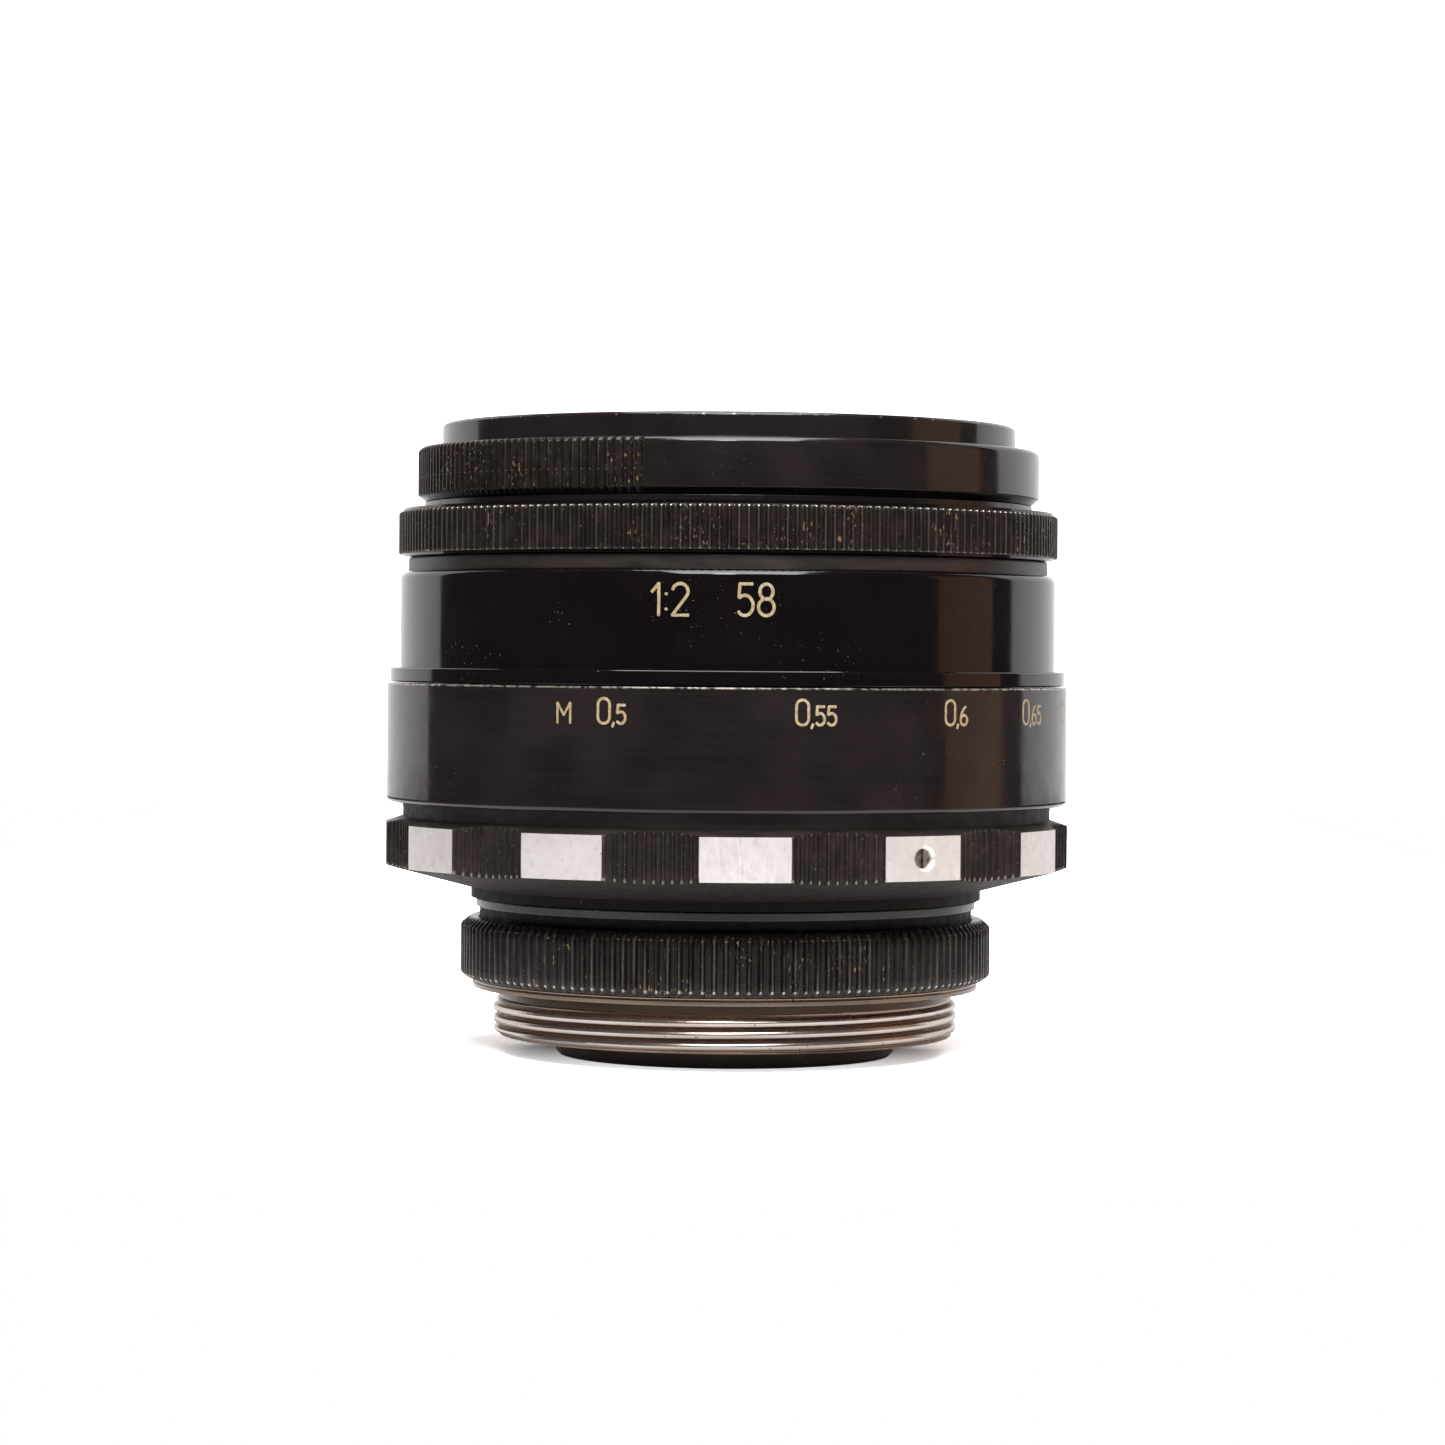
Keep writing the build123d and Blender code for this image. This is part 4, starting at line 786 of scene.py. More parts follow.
def guide_barrel():
    """The threaded tube that the focusing ring climbs, slotted for the two guide keys."""
    azimuths = even(360)
    root_r = GUIDE_THREAD_R - HELICOID_DEPTH
    corners = [
        (GUIDE_BORE_R, GUIDE_TOP_Z), (GUIDE_BORE_R, MOUNT_FOOT_Z), (MOUNT_FOOT_R, MOUNT_FOOT_Z),
        (MOUNT_FOOT_R, GUIDE_BAND_Z), (GUIDE_THREAD_R - 0.04, GUIDE_BAND_Z),
        (GUIDE_THREAD_R, GUIDE_GROOVE_Z), (MOUNT_FOOT_R, GUIDE_GROOVE_Z), (MOUNT_FOOT_R, GRIP_Z),
    ]
    foot = rounded(corners, 0.08, closed=False)

    def foot_material(i, j):
        return 0 if min(foot[i][0], foot[i + 1][0]) > GUIDE_THREAD_R - 0.1 else 2

    bm = bmesh.new()
    spin(bm, foot, azimuths, material=foot_material)
    form = {"ends": (MOUNT_FOOT_R, root_r), "starts": HELICOID_STARTS, "steps": 6, "material": 1}
    thread(bm, azimuths, GRIP_Z, GUIDE_TOP_Z, GUIDE_THREAD_R, root_r, HELICOID_LEAD, **form)
    spin(bm, [(root_r, GUIDE_TOP_Z, 0), (GUIDE_BORE_R, GUIDE_TOP_Z, 0)], azimuths, material=1)
    looks = (SATIN, HELICOID, SHADED)
    placing = {"replaces": ("guide_barrel",), "slot": "blackened_brass"}
    barrel = add_piece("guide_thread_barrel", bm, "mount_base", looks, **placing)
    cut(barrel, [key_slot(i) for i in range(KEYS)])


def key_slot(index):
    """An upright slot for one guide key, open at the top."""
    bm = bmesh.new()
    bmesh.ops.create_cube(bm, size=1)
    height = GUIDE_TOP_Z + 1 - KEY_SLOT_Z
    centre = placed(GUIDE_THREAD_R, 90 + 360 * index / KEYS, KEY_SLOT_Z + height / 2)
    bmesh.ops.scale(bm, verts=bm.verts, vec=Vector((KEY_SLOT_LENGTH, KEY_SLOT_WIDTH, height)) * MM)
    bmesh.ops.translate(bm, verts=bm.verts, vec=centre)
    return cutter_object(bm)


# ---------------- focusing ring
def scallop_radius(offset):
    """Distance from the axis to the scallop's floor at an angle from its middle, in degrees."""
    half = math.radians(SCALLOP_ANGLE / 2)
    half_chord = GRIP_R * math.sin(half)
    bite = SCALLOP_DEPTH - GRIP_R * (1 - math.cos(half))
    cutter_r = (half_chord**2 + bite**2) / (2 * bite)
    centre = GRIP_R - SCALLOP_DEPTH + cutter_r
    angle = math.radians(offset)
    return centre * math.cos(angle) - math.sqrt(cutter_r**2 - (centre * math.sin(angle)) ** 2)


def grip_columns():
    """Azimuth, outer radius and wear of every column: land, scallop floor or tooth."""
    columns = []
    half = SCALLOP_ANGLE / 2
    pitch = SCALLOP_ANGLE / SCALLOP_TEETH
    land = 360 / SCALLOPS - SCALLOP_ANGLE
    for k in range(SCALLOPS):
        middle = SCALLOP_AZIMUTH + 360 * k / SCALLOPS
        for i in range(SCALLOP_TEETH):
            for share, depth in TOOTH:
                offset = -half + pitch * (i + share + 0.12)
                radius = min(scallop_radius(offset), GRIP_R) - SCALLOP_TOOTH_DEPTH * depth
                columns.append((middle + offset, radius, 1 - depth))
        columns.append((middle + half, GRIP_R, 1))
        for share in (0.012, 0.25, 0.5, 0.75, 0.988):
            columns.append((middle + half + land * share, GRIP_R, 0))
        columns.append((middle + half + land, GRIP_R, 1))
    return columns


def cone_height(radius):
    """Height at which the short nose or the cone under the grip reaches a radius."""
    if radius < GRIP_NOSE_TOP_R:
        share = (radius - GRIP_NOSE_R) / (GRIP_NOSE_TOP_R - GRIP_NOSE_R)
        return GRIP_Z + (GRIP_NOSE_TOP_Z - GRIP_Z) * share
    share = (radius - GRIP_NOSE_TOP_R) / (GRIP_R - GRIP_NOSE_TOP_R)
    return GRIP_NOSE_TOP_Z + (GRIP_LAND_Z - GRIP_NOSE_TOP_Z) * share


def shoulder_height(radius):
    """Height at which the shoulder over the grip comes down to a radius."""
    return GRIP_SHOULDER_Z + (GRIP_NECK_Z - GRIP_SHOULDER_Z) * (GRIP_R - radius) / (GRIP_R - GRIP_NECK_R)


GRIP_HEIGHTS = ((0.04, 1), (0.11, 0.42), (0.5, 0.4), (0.93, 0.42), (1, 0.8))  # shares of height, wear


def grip_ring():
    columns = grip_columns()
    outer = []
    for radius in (GRIP_NOSE_R, GRIP_NOSE_TOP_R, GRIP_NOSE_TOP_R + 0.1, GRIP_NOSE_TOP_R + 0.3):
        outer.append([(radius, cone_height(radius), 0)] * len(columns))
    for back in (1, 0):
        outer.append([(r - back, cone_height(r - back), edge * (1 - back)) for azimuth, r, edge in columns])
    cone_rows = len(outer)
    for share, wear in GRIP_HEIGHTS:
        row = []
        for azimuth, radius, edge in columns:
            low = cone_height(radius)
            row.append((radius, low + (shoulder_height(radius) - low) * share, edge * wear))
        outer.append(row)
    corners = [
        (GRIP_NECK_R, GRIP_NECK_Z), (GRIP_NECK_R, SCALE_Z), (SLEEVE_R, SCALE_Z), (SLEEVE_R, SLEEVE_Z),
        (GRIP_BORE_R, SLEEVE_Z), (GRIP_BORE_R, GRIP_Z), (GRIP_NOSE_R, GRIP_Z),
    ]
    inner = [[point] * len(columns) for point in rounded(corners, closed=False)]

    def material(i, j):
        if cone_rows - 1 <= i < len(outer) - 1:
            ahead = columns[(j + 1) % len(columns)][1]
            return 1 if columns[j][1] == GRIP_R and ahead == GRIP_R else 2
        if i == 0:
            return 4
        return 3 if i == len(outer) - 1 else 0

    bm = bmesh.new()
    azimuths = [azimuth for azimuth, radius, edge in columns]
    ring_rows(bm, outer + inner, azimuths, closed=True, material=material)
    looks = (MATT, LAND, GRIP_KNURL, DUSTY, SHADED)
    placing = {"replaces": ("focus_grip_ring",), "crease": 24}
    ring = add_piece("grip_scalloped_ring", bm, "focus_ring", looks, **placing)
    cut(ring, [grip_screw_hole(i) for i in range(GRIP_SCREWS)])


def grip_screw_hole(index):
    """The sunk hole of one set screw, as one turned cutter pointing out from the axis."""
    length = GRIP_R - (SLEEVE_R + GRIP_BORE_R) / 2
    sink_r = GRIP_SCREW_R + GRIP_SCREW_SINK
    outline = [(0, -length), (GRIP_SCREW_R, -length), (GRIP_SCREW_R, -GRIP_SCREW_SINK)]
    outline += [(sink_r, 0), (sink_r, 1), (0, 1)]
    segments = 48
    bm = bmesh.new()
    loops = []
    for radius, height in outline:
        loop = []
        for k in range(segments):
            angle = TURN * k / segments
            spot = Vector((radius * math.cos(angle), radius * math.sin(angle), height))
            loop.append(bm.verts.new(spot * MM))
        loops.append(loop)
    tube(bm, loops)
    bmesh.ops.remove_doubles(bm, verts=bm.verts, dist=1e-7)
    azimuth = GRIP_SCREW_AZIMUTH + 360 * index / GRIP_SCREWS
    place = Matrix.Translation(placed(GRIP_R, azimuth, (GRIP_LAND_Z + GRIP_SHOULDER_Z) / 2))
    tilt = Matrix.Rotation(math.radians(90), 4, "Y")
    turn = Matrix.Rotation(math.radians(azimuth - 90), 4, "Z")
    bmesh.ops.transform(bm, matrix=place @ (turn @ tilt), verts=bm.verts)
    return cutter_object(bm, LAND)


def distance_ring():
    corners = [
        (SLEEVE_R + 0.02, SCALE_Z),
        (SCALE_R, SCALE_Z, 1.3 * SCALE_EDGE, 0.3),
        (SCALE_R, SCALE_TOP_Z, 0.5 * SCALE_EDGE, 1.12),
        (SLEEVE_R + 0.02, SCALE_TOP_Z),
    ]
    options = {"columns": 480, "size": 0.06, "replaces": ("distance_ring",)}
    turned("distance_scale_ring", corners, "focus_ring", (HANDLED,), **options)


# ---------------- head and barrel
def head_tube():
    bore = BARREL_R - BARREL_WALL
    spigot_bore = bore - SPIGOT_WALL
    web_top = HEAD_WEB_Z + HEAD_WEB_HEIGHT
    corners = [
        (HEAD_BORE_R, HEAD_BOTTOM_Z), (HEAD_R, HEAD_BOTTOM_Z), (HEAD_R, LIP_Z), (LIP_R, LIP_Z),
        (LIP_R, LIP_TOP_Z, 0.2, 0.6),
        (bore, LIP_TOP_Z), (bore, HEAD_TOP_Z), (spigot_bore, HEAD_TOP_Z), (spigot_bore, LIP_TOP_Z),
        (HEAD_BORE_R, LIP_TOP_Z), (HEAD_BORE_R, web_top), (HEAD_WEB_BORE_R, web_top),
        (HEAD_WEB_BORE_R, HEAD_WEB_Z), (HEAD_BORE_R, HEAD_WEB_Z),
    ]
    options = {"columns": 480, "size": 0.12, "replaces": ("head_tube",)}
    turned("head_lip_tube", corners, "lens_head", (BLACK,), **options)


def quarter(radius, height, size, steps):
    """Points of a convex quarter round that ends at a top height, inside a radius."""
    points = []
    for step in range(steps + 1):
        angle = TURN / 4 * step / steps
        points.append((radius - size + size * math.cos(angle), height - size + size * math.sin(angle)))
    return points


def front_barrel():
    """The plain barrel, its shoulder rounded up to a narrower neck."""
    shoulder = BARREL_R - BARREL_NECK_R
    shoulder_top = BARREL_CHAMFER_Z + BARREL_CHAMFER
    bore = BARREL_R - BARREL_WALL
    web_z = BARREL_TOP_Z - BARREL_WEB
    outline = [
        (BARREL_R, LIP_TOP_Z + 0.01, 0.2),
        (BARREL_R, LIP_TOP_Z + 0.12, 0),
        (BARREL_R, shoulder_top - shoulder - 0.1, 0),
    ]
    outline += [(*point, 0) for point in quarter(BARREL_R, shoulder_top, shoulder, 12)]
    shoulder_points = len(outline)
    neck = [
        (BARREL_NECK_R, shoulder_top),
        (BARREL_NECK_R, BARREL_TOP_Z, 0.28),
        (BODY_SHELL_R, BARREL_TOP_Z), (BODY_SHELL_R, web_z), (bore, web_z), (bore, LIP_TOP_Z),
    ]
    outline += rounded(neck, 0.12, closed=False)[1:]

    def material(i, j):
        return 1 if i >= shoulder_points - 1 else 0

    bm = bmesh.new()
    spin(bm, outline, even(480), closed=True, material=material)
    add_piece("front_barrel_shell", bm, "lens_head", (BLACK, DUSTY), replaces=("front_barrel",))


def ring_spacer():
    corners = [
        (BODY_TOP_R, SPACER_Z), (SPACER_R, SPACER_Z), (SPACER_R, SPACER_TOP_Z),
        (BODY_TOP_R, SPACER_TOP_Z),
    ]
    turned("spacer_band", corners, "lens_head", (SATIN,), size=0.12, replaces=("ring_spacer",))


def knurled_ring(name, body, outline, teeth, depth, replaces, plain_look, sectors=False):
    """A ring whose outline points carry (radius, height, edge, knurl) and close on themselves."""
    azimuths, shares = tooth_columns(teeth)
    rows = knurled_rows(outline, shares, depth)
    if sectors:
        for row, (radius, height, edge, knurl) in zip(rows, outline):
            for j, azimuth in enumerate(azimuths):
                if not in_grip(azimuth):
                    row[j] = (radius, height, 0)

    def material(i, j):
        toothed = outline[i][3] and outline[(i + 1) % len(outline)][3]
        return 1 if toothed and (not sectors or in_grip(azimuths[j])) else 0

    bm = bmesh.new()
    ring_rows(bm, rows, azimuths, closed=True, material=material)
    add_piece(name, bm, body, (plain_look, KNURL), replaces=replaces)


def aperture_ring():
    bore = BODY_SHELL_R + RUN
    root_r = APERTURE_R - APERTURE_TOOTH_DEPTH
    teeth_z = APERTURE_Z + 0.24
    foot = [(0.06, 0.03, 0.8, 1), (0, 0.11, 0.8, 1), (0, 0.25, 0.5, 1), (0, 0.5, 0.5, 1)]
    top = [(0, -0.78, 0.5, 1), (0, -0.44, 0.6, 1), (0.02, -0.38, 1, 1), (0.08, -0.32, 1, 0.9)]
    outline = [
        (bore, APERTURE_Z, 0, 0),
        *measured(root_r, APERTURE_Z, (0.12, 0, 0, 0), (0.12, 0.24, 0, 0)),
        (root_r, teeth_z + 0.01, 0.2, 0.1),
        *measured(APERTURE_R, teeth_z, *foot),
        *measured(APERTURE_R, APERTURE_TOP_Z, *top),
        *measured(root_r, APERTURE_TOP_Z, (0, -0.23, 0.2, 0.1), (0.05, -0.21, 0, 0), (0.05, 0, 0, 0)),
        (bore, APERTURE_TOP_Z, 0, 0),
    ]
    teeth = (APERTURE_TEETH, APERTURE_TOOTH_DEPTH)
    knurled_ring("aperture_knurled_ring", "iris_ring", outline, *teeth, ("aperture_ring",), BLACK)


def preset_ring():
    """The preset ring: knurled in two sectors, with a line round it and a rolled top."""
    inner_r = BODY_TOP_R + RUN
    step_r = BODY_SHELL_R + 2 * RUN
    foot_z = PRESET_Z + PRESET_FOOT
    line_z = PRESET_Z + PRESET_LINE_HEIGHT
    roll = []
    for step, point in enumerate(quarter(PRESET_R, PRESET_TOP_Z, PRESET_ROLL, 6)):
        roll.append((*point, 0.45 if step < 3 else 0.2, 1 - step / 6))
    foot = [(0.04, -0.02, 0.2, 0.9), (0, 0.05, 0.4, 1), (0, 0.14, 0.4, 1)]
    line = [(0, -0.07, 0.4, 1), (0, 0, 0.95, 1), (0, 0.07, 0.4, 1)]
    outline = [
        (inner_r, PRESET_STEP_Z, 0, 0),
        (inner_r, PRESET_Z, 0, 0),
        (SPACER_R, PRESET_Z, 0, 0),
        (PRESET_R - PRESET_TOOTH_DEPTH - 0.05, foot_z - 0.16, 0, 0),
        *measured(PRESET_R, foot_z, *foot),
        *measured(PRESET_R, line_z, *line),
        *roll,
        (step_r, PRESET_TOP_Z, 0, 0),
        (step_r, PRESET_STEP_Z, 0, 0),
    ]
    teeth = (PRESET_TEETH, PRESET_TOOTH_DEPTH)
    knurled_ring("preset_stop_ring", "stop_ring", outline, *teeth, ("preset_ring",), HANDLED, sectors=True)


def filter_ring():
    """The front rim, with the thread for filters cut inside it."""
    azimuths = even(480)
    thread_top = FRONT_Z - 0.35
    root_r = FILTER_THREAD_R + FILTER_THREAD_DEPTH
    bm = bmesh.new()
    ends = (root_r, root_r)
    thread(bm, azimuths, BODY_TOP_Z, thread_top, FILTER_THREAD_R, root_r, FILTER_PITCH, ends)
    corners = [
        (root_r, thread_top), (root_r + 0.12, FRONT_Z),
        (FILTER_R - 0.22, FRONT_Z, 0.08, 0.8),
        (FILTER_R, FRONT_Z - 0.22, 0.08, 0.8),
        (FILTER_R, FILTER_RING_Z), (BODY_TOP_R, FILTER_RING_Z), (BODY_TOP_R, BODY_TOP_Z),
        (root_r, BODY_TOP_Z),
    ]
    spin(bm, rounded(corners, 0.16, closed=False), azimuths)
    add_piece("filter_thread_rim", bm, "lens_head", (HANDLED,), replaces=("filter_ring",))


def name_ring():
    """The dished ring round the front lens, left bare, with fine turned grooves."""
    rim_r = NAME_RING_R - NAME_RING_LIP
    inner_z = NAME_RING_Z + NAME_RING_INNER_HEIGHT
    corners = [
        (NAME_RING_BORE_R, NAME_RING_Z), (NAME_RING_FOOT_R, NAME_RING_Z),
        (NAME_RING_FOOT_R, NAME_RING_STEP_Z), (NAME_RING_R, NAME_RING_STEP_Z),
        (NAME_RING_R, NAME_RING_TOP_Z), (rim_r, NAME_RING_TOP_Z),
    ]
    slope = (inner_z - NAME_RING_TOP_Z) / (NAME_RING_BORE_R - rim_r)
    for i in range(1, NAME_RING_GROOVES):
        radius = rim_r + (NAME_RING_BORE_R - rim_r) * i / NAME_RING_GROOVES
        height = NAME_RING_TOP_Z + slope * (radius - rim_r)
        corners.append((radius + 0.1, height + 0.1 * slope))
        corners.append((radius, height - 0.07))
        corners.append((radius - 0.02, height - 0.02 * slope))
    corners.append((NAME_RING_BORE_R, inner_z))
    options = {"size": 0.03, "replaces": ("name_ring",), "slot": "matt_black_aluminium"}
    turned("front_dished_ring", corners, "lens_head", (MATT,), **options)


# ---------------- engraved figures
def arc(x, y, across, up, start=0, end=360):
    """Points of an ellipse round (x, y), or of its arc from one angle to another."""
    steps = max(4, int(abs(end - start) / 15))
    angles = [math.radians(start + (end - start) * i / steps) for i in range(steps + 1)]
    return [(x + across * math.cos(angle), y + up * math.sin(angle)) for angle in angles]


def bars(*corners):
    """Straight strokes from corner to corner."""
    return [list(ends) for ends in zip(corners, corners[1:])]


# Each mark's width, and its strokes in shares of its height.
GLYPHS = {
    "0": (
        0.5,
        [arc(0.25, 0.75, 0.25, 0.25, 0, 180) + arc(0.25, 0.25, 0.25, 0.25, 180, 360) + [(0.5, 0.75)]],
    ),
    "1": (0.26, bars((0, 0.74), (0.22, 1), (0.22, 0))),
    "2": (0.5, [arc(0.25, 0.75, 0.25, 0.25, 165, -35) + [(0, 0)], *bars((0, 0), (0.5, 0))]),
    "3": (0.48, [arc(0.24, 0.77, 0.22, 0.23, 155, -90), arc(0.24, 0.27, 0.25, 0.27, 90, -155)]),
    "4": (0.52, bars((0.34, 1), (0, 0.27), (0.52, 0.27)) + bars((0.36, 0.52), (0.36, 0))),
    "5": (0.48, bars((0.45, 1), (0.06, 1), (0.03, 0.57)) + [arc(0.22, 0.32, 0.26, 0.32, 128, -140)]),
    "6": (
        0.5,
        [arc(0.25, 0.27, 0.25, 0.27), [(0.01, 0.33), (0.06, 0.62), (0.2, 0.86), (0.36, 1)]],
    ),
    "7": (0.48, bars((0, 1), (0.48, 1), (0.14, 0))),
    "8": (0.5, [arc(0.25, 0.76, 0.21, 0.24), arc(0.25, 0.27, 0.25, 0.27)]),
    "9": (
        0.5,
        [arc(0.25, 0.73, 0.25, 0.27), [(0.49, 0.67), (0.44, 0.38), (0.3, 0.14), (0.14, 0)]],
    ),
    ",": (0.08, bars((0.07, 0.04), (0, -0.16))),
    ":": (0.06, bars((0.03, 0.18), (0.03, 0.2)) + bars((0.03, 0.66), (0.03, 0.68))),
    "M": (0.72, bars((0, 0), (0, 1), (0.36, 0.4), (0.72, 1), (0.72, 0))),
    "~": (1.1, [arc(0.27, 0.5, 0.27, 0.25), arc(0.83, 0.5, 0.27, 0.25)]),
    "|": (0, bars((0, 0), (0, 1))),
    " ": (0.3, []),
}
GLYPH_GAP = 0.17
SINK = 0.06
SECTION = ((-1, -0.04), (-0.72, 0.006), (0, 0.012), (0.72, 0.006), (1, -0.04), (0, -SINK))


def inlay_stroke(bm, points, radius, width):
    """A paint-filled groove: a low bead with round ends that follows (azimuth, height) points."""
    path = [Vector(point) for point in points]
    first = (path[1] - path[0]).normalized()
    last = (path[-1] - path[-2]).normalized()
    stations = []
    for k, point in enumerate(path):
        before = path[max(k - 1, 0)]
        after = path[min(k + 1, len(path) - 1)]
        stations.append((point, (after - before).normalized(), 1))
    for step in (1, 2, 3):
        angle = TURN * step / 12
        stations.insert(0, (path[0] - first * width * math.sin(angle), first, math.cos(angle)))
        stations.append((path[-1] + last * width * math.sin(angle), last, math.cos(angle)))
    loops = []
    for point, direction, fullness in stations:
        side = Vector((-direction.y, direction.x)) * width * fullness
        loop = []
        for share, lift in SECTION:
            spot = point + side * share
            height = -SINK + (lift + SINK) * max(fullness, 0)
            loop.append(bm.verts.new(placed(radius + height, math.degrees(spot.x / radius), spot.y)))
        loops.append(loop)
    tube(bm, loops)


def inlay_text(bm, text, azimuth, bottom, radius, height, width, small=None):
    """Figures round a cylinder, centred on an azimuth; after the first one they may be smaller."""
    sizes = [height] + [small or height] * (len(text) - 1)
    gaps = [GLYPH_GAP * size for size in sizes[1:]]
    length = sum(GLYPHS[mark][0] * size for mark, size in zip(text, sizes)) + sum(gaps)
    start = math.radians(azimuth) * radius - length / 2
    for mark, size, gap in zip(text, sizes, gaps + [0]):
        advance, strokes = GLYPHS[mark]
        for stroke in strokes:
            points = [(start + x * size, bottom + y * size) for x, y in stroke]
            inlay_stroke(bm, points, radius, width)
        start += advance * size + gap


INFINITY_AZIMUTH = -108.4
NEAR_AZIMUTH = -18.4
FOCUS_TRAVEL = 9.02
SCALE_DEGREES_PER_MM = 30
FOCAL_LENGTH = 58
DISTANCES = (0.5, 0.55, 0.6, 0.65, 0.7, 0.8, 0.9, 1, 1.2, 1.5, 2, 3, 6, 10)


def extension(distance):
    """How far the head moves out to focus at a distance from the film, in metres."""
    total = distance * 1000
    film_side = (total - math.sqrt(total**2 - 4 * FOCAL_LENGTH * total)) / 2
    return film_side - FOCAL_LENGTH


def distance_scale():
    """Distances in metres, each where the ring stands when the lens is focused on it."""
    bm = bmesh.new()
    bottom = SCALE_TOP_Z - 3.1
    nearest = extension(DISTANCES[0])
    for distance in DISTANCES:
        share = extension(distance) / nearest
        azimuth = NEAR_AZIMUTH + SCALE_DEGREES_PER_MM * FOCUS_TRAVEL * (1 - share)
        text = f"{distance:g}".replace(".", ",")
        inlay_text(bm, text, azimuth, bottom, SCALE_R, height=2.1, width=0.155, small=1.55)
    inlay_text(bm, "M", NEAR_AZIMUTH - 8.2, bottom, SCALE_R, height=1.7, width=0.14)
    inlay_text(bm, "~", INFINITY_AZIMUTH, bottom, SCALE_R, height=1.7, width=0.155)
    add_piece("distance_figures", bm, "focus_ring", (PAINT,))


DEPTH_MARKS = ((4, 6), (8, 12), (16, 24))


def barrel_figures():
    """Focusing index with its depth-of-field marks, and the plain lens figures."""
    bm = bmesh.new()
    line_z = LIP_TOP_Z + 0.5
    inlay_text(bm, "|", INFINITY_AZIMUTH, line_z, BARREL_R, height=3.4, width=0.16)
    for number, spread in DEPTH_MARKS:
        for side in (-1, 1):
            azimuth = INFINITY_AZIMUTH + side * spread
            inlay_text(bm, "|", azimuth, line_z, BARREL_R, height=1.9, width=0.09)
            inlay_text(bm, str(number), azimuth, line_z + 2.5, BARREL_R, height=1.5, width=0.11)
    inlay_text(bm, "1:2   58", -2.5, BARREL_CHAMFER_Z - 3.6, BARREL_R, height=2.65, width=0.18)
    add_piece("barrel_figures", bm, "lens_head", (PAINT,))


STOPS = ("2", "2,8", "4", "5,6", "8", "11", "16")
STOP_STEP = 9


def preset_figures():
    """Stop numbers at even steps from the focusing index."""
    bm = bmesh.new()
    for i, stop in enumerate(STOPS):
        azimuth = INFINITY_AZIMUTH - STOP_STEP * i
        inlay_text(bm, stop, azimuth, PRESET_Z + 1.3, PRESET_R, height=1.6, width=0.1)
    add_piece("preset_figures", bm, "stop_ring", (PAINT,))


# ---------------- CAD nodes that stay
SLOT_LOOKS = {
    ANODISED: SATIN,
    "matt_black_aluminium": MATT,
    "bare_aluminium": BARE,
    "blackened_brass": HELICOID,
    "brass": BRASS,
    "steel": STEEL,
    "blued_steel": BLUED,
    "coated_glass": GLASS,
}
# The rear cell and its retainer take the lighter matt black, painted light for the shadow they stand in.
NODE_LOOKS = {"rear_cell": FILL_LIT_BLACK, "rear_lens_retainer": FILL_LIT_BLACK}


def dress_nodes():
    slots = {part["node"]: part["material_slot"] for part in frame["record"]["subparts"]}
    for name, node in frame["nodes"].items():
        node.data.materials.clear()
        node.data.materials.append(NODE_LOOKS.get(name, SLOT_LOOKS[slots[name]]))


# ---------------- floor, backdrop, light and camera
NEAR_GLOW_SPAN = (-13 * MM, 4 * MM)


def grey(value):
    return (value, value, value, 1)


def stage_white(name, glow, mirrored, gain, near_glow=None):
    """Plain white stage material.

    glow and gain are what the camera sees by itself and per light that falls on it;
    mirrored is what metal and glass see of it. near_glow is the glow in front of the lens.
    """
    material = bpy.data.materials.new(name)
    nodes = Nodes(material)
    nodes.tree.nodes.remove(nodes.tree.nodes["Principled BSDF"])
    path = nodes.node("ShaderNodeLightPath")
    if near_glow:
        place = nodes.node("ShaderNodeTexCoord")["Object"]
        depth = nodes.node("ShaderNodeSeparateXYZ", place)[1]
        glow = nodes.between(depth, *NEAR_GLOW_SPAN, near_glow, glow)
    seen = nodes.times(path["Is Camera Ray"], glow)
    reflected = nodes.maths("MAXIMUM", path["Is Glossy Ray"], path["Is Transmission Ray"])
    strength = nodes.maths("MULTIPLY_ADD", reflected, mirrored, seen)
    colour = nodes.mix(path["Is Camera Ray"], grey(0.86), grey(gain))
    diffuse = nodes.node("ShaderNodeBsdfDiffuse", colour)[0]
    emission = nodes.node("ShaderNodeEmission", None, strength)[0]
    surface = nodes.node("ShaderNodeAddShader", diffuse, emission)[0]
    nodes.feed(nodes.tree.nodes["Material Output"].inputs["Surface"], surface)
    return material


FLOOR_FRONT = 100
FLOOR_BACK = 600
FLOOR_WIDTH = 260
BACKDROP_R = 620
BACKDROP_HEIGHT = 700
BACKDROP_SPAN = (114.3, 243.3)


def stage_object(name, bm, material):
    surface = mesh_object(name, bm, [material])


def floor():
    bm = bmesh.new()
    corners = []
    for x, y in ((-1, -FLOOR_FRONT), (1, -FLOOR_FRONT), (1, FLOOR_BACK), (-1, FLOOR_BACK)):
        corners.append(bm.verts.new(Vector((x * FLOOR_WIDTH / 2, y, 0)) * MM))
    bm.faces.new(corners)
    stage_object("floor", bm, stage_white("floor_white", 0.04, 0.09, 4.5, near_glow=0.7))


def backdrop():
    """A white sweep that stands round the back of the lens."""
    bm = bmesh.new()
    steps = 48
    low, high = BACKDROP_SPAN
    azimuths = [low + (high - low) * i / steps for i in range(steps + 1)]
    rows = []
    for height in (0, BACKDROP_HEIGHT):
        rows.append([bm.verts.new(placed(BACKDROP_R, azimuth, height)) for azimuth in azimuths])
    for i in range(steps):
        bm.faces.new((rows[0][i], rows[0][i + 1], rows[1][i + 1], rows[1][i]))
    stage_object("backdrop", bm, stage_white("backdrop_white", 1, 0.5, 1))


WORLD_LIGHT = 0.09
WORLD_TINT = (1, 0.86, 0.9, 1)


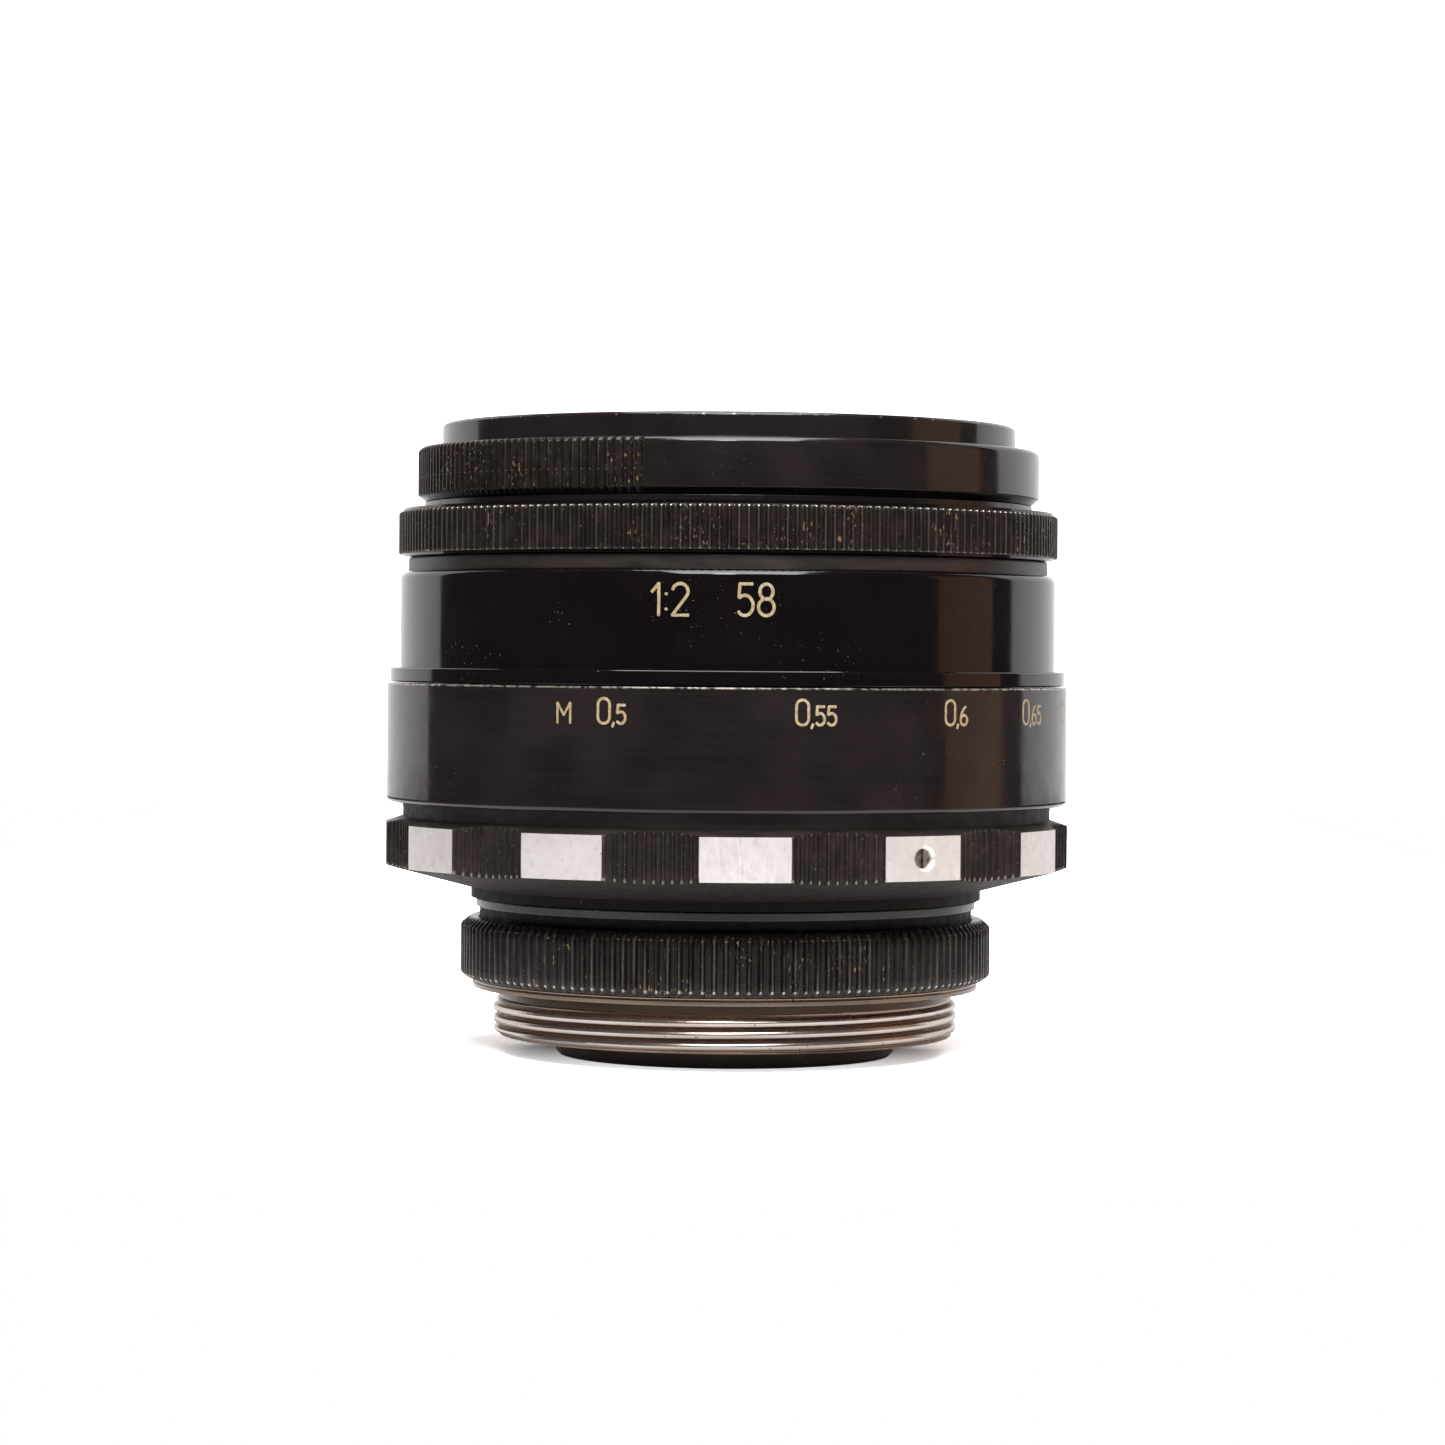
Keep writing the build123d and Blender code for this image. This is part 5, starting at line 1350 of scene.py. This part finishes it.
def world():
    """White to look at and through; a dim room to reflect and to be lit by."""
    scene_world = bpy.data.worlds.new("studio")
    bpy.context.scene.world = scene_world
    nodes = Nodes(scene_world)
    background = nodes.tree.nodes["Background"]
    path = nodes.node("ShaderNodeLightPath")
    seen = nodes.maths("MAXIMUM", path["Is Camera Ray"], path["Is Transmission Ray"])
    nodes.feed(background.inputs["Strength"], nodes.between(seen, 0, 1, WORLD_LIGHT, 1))
    nodes.feed(background.inputs["Color"], nodes.mix(seen, WORLD_TINT, grey(1)))


LIGHT_AIM_Z = 30


def softbox(name, azimuth, distance, height, width, tall, power, colour=(1, 1, 1)):
    """An area light that faces a point over the middle of the floor."""
    light = bpy.data.lights.new(name, "AREA")
    light.shape = "RECTANGLE"
    light.size = width * MM
    light.size_y = tall * MM
    light.energy = power
    light.color = colour
    lamp = scene_object(name, light)
    lamp.location = placed(distance, azimuth, height)
    target = Vector((0, 0, LIGHT_AIM_Z)) * MM
    lamp.rotation_euler = (target - lamp.location).to_track_quat("-Z", "Y").to_euler()


def lights():
    """Azimuth, distance, height, width, tallness and power of each light."""
    softbox("overhead", 0, 60, 640, 440, 320, 2.4)
    softbox("front_panel", 4, 430, 510, 440, 420, 5.6)
    softbox("front_spot", -1, 560, 330, 70, 60, 0.35)
    softbox("warm_side", 89, 600, 120, 290, 420, 0.18, colour=(1, 0.53, 0.29))


def camera():
    data = bpy.data.cameras.new("camera")
    data.sensor_width = SENSOR_WIDTH
    data.lens = PIXELS_PER_MM * CAMERA_DISTANCE * SENSOR_WIDTH / PHOTO_PIXELS
    data.clip_start = 0.01
    viewer = scene_object("camera", data)
    viewer.location = Vector((CAMERA_SIDE, -CAMERA_DISTANCE, CAMERA_HEIGHT)) * MM
    level = Matrix.Rotation(math.radians(90 + CAMERA_PITCH), 4, "X")
    roll = Matrix.Rotation(math.radians(-CAMERA_ROLL), 4, "Z")
    viewer.rotation_euler = (level @ roll).to_euler()
    bpy.context.scene.camera = viewer


# ---------------- the scene
bpy.context.scene.view_settings.view_transform = "Standard"
parts = (mount_ring, guide_barrel, grip_ring, distance_ring, head_tube, front_barrel, ring_spacer)
rings = (aperture_ring, preset_ring, filter_ring, name_ring)
figures = (distance_scale, barrel_figures, preset_figures)
for make in (camera, dress_nodes, *parts, *rings, *figures, floor, backdrop, world, lights):
    make()
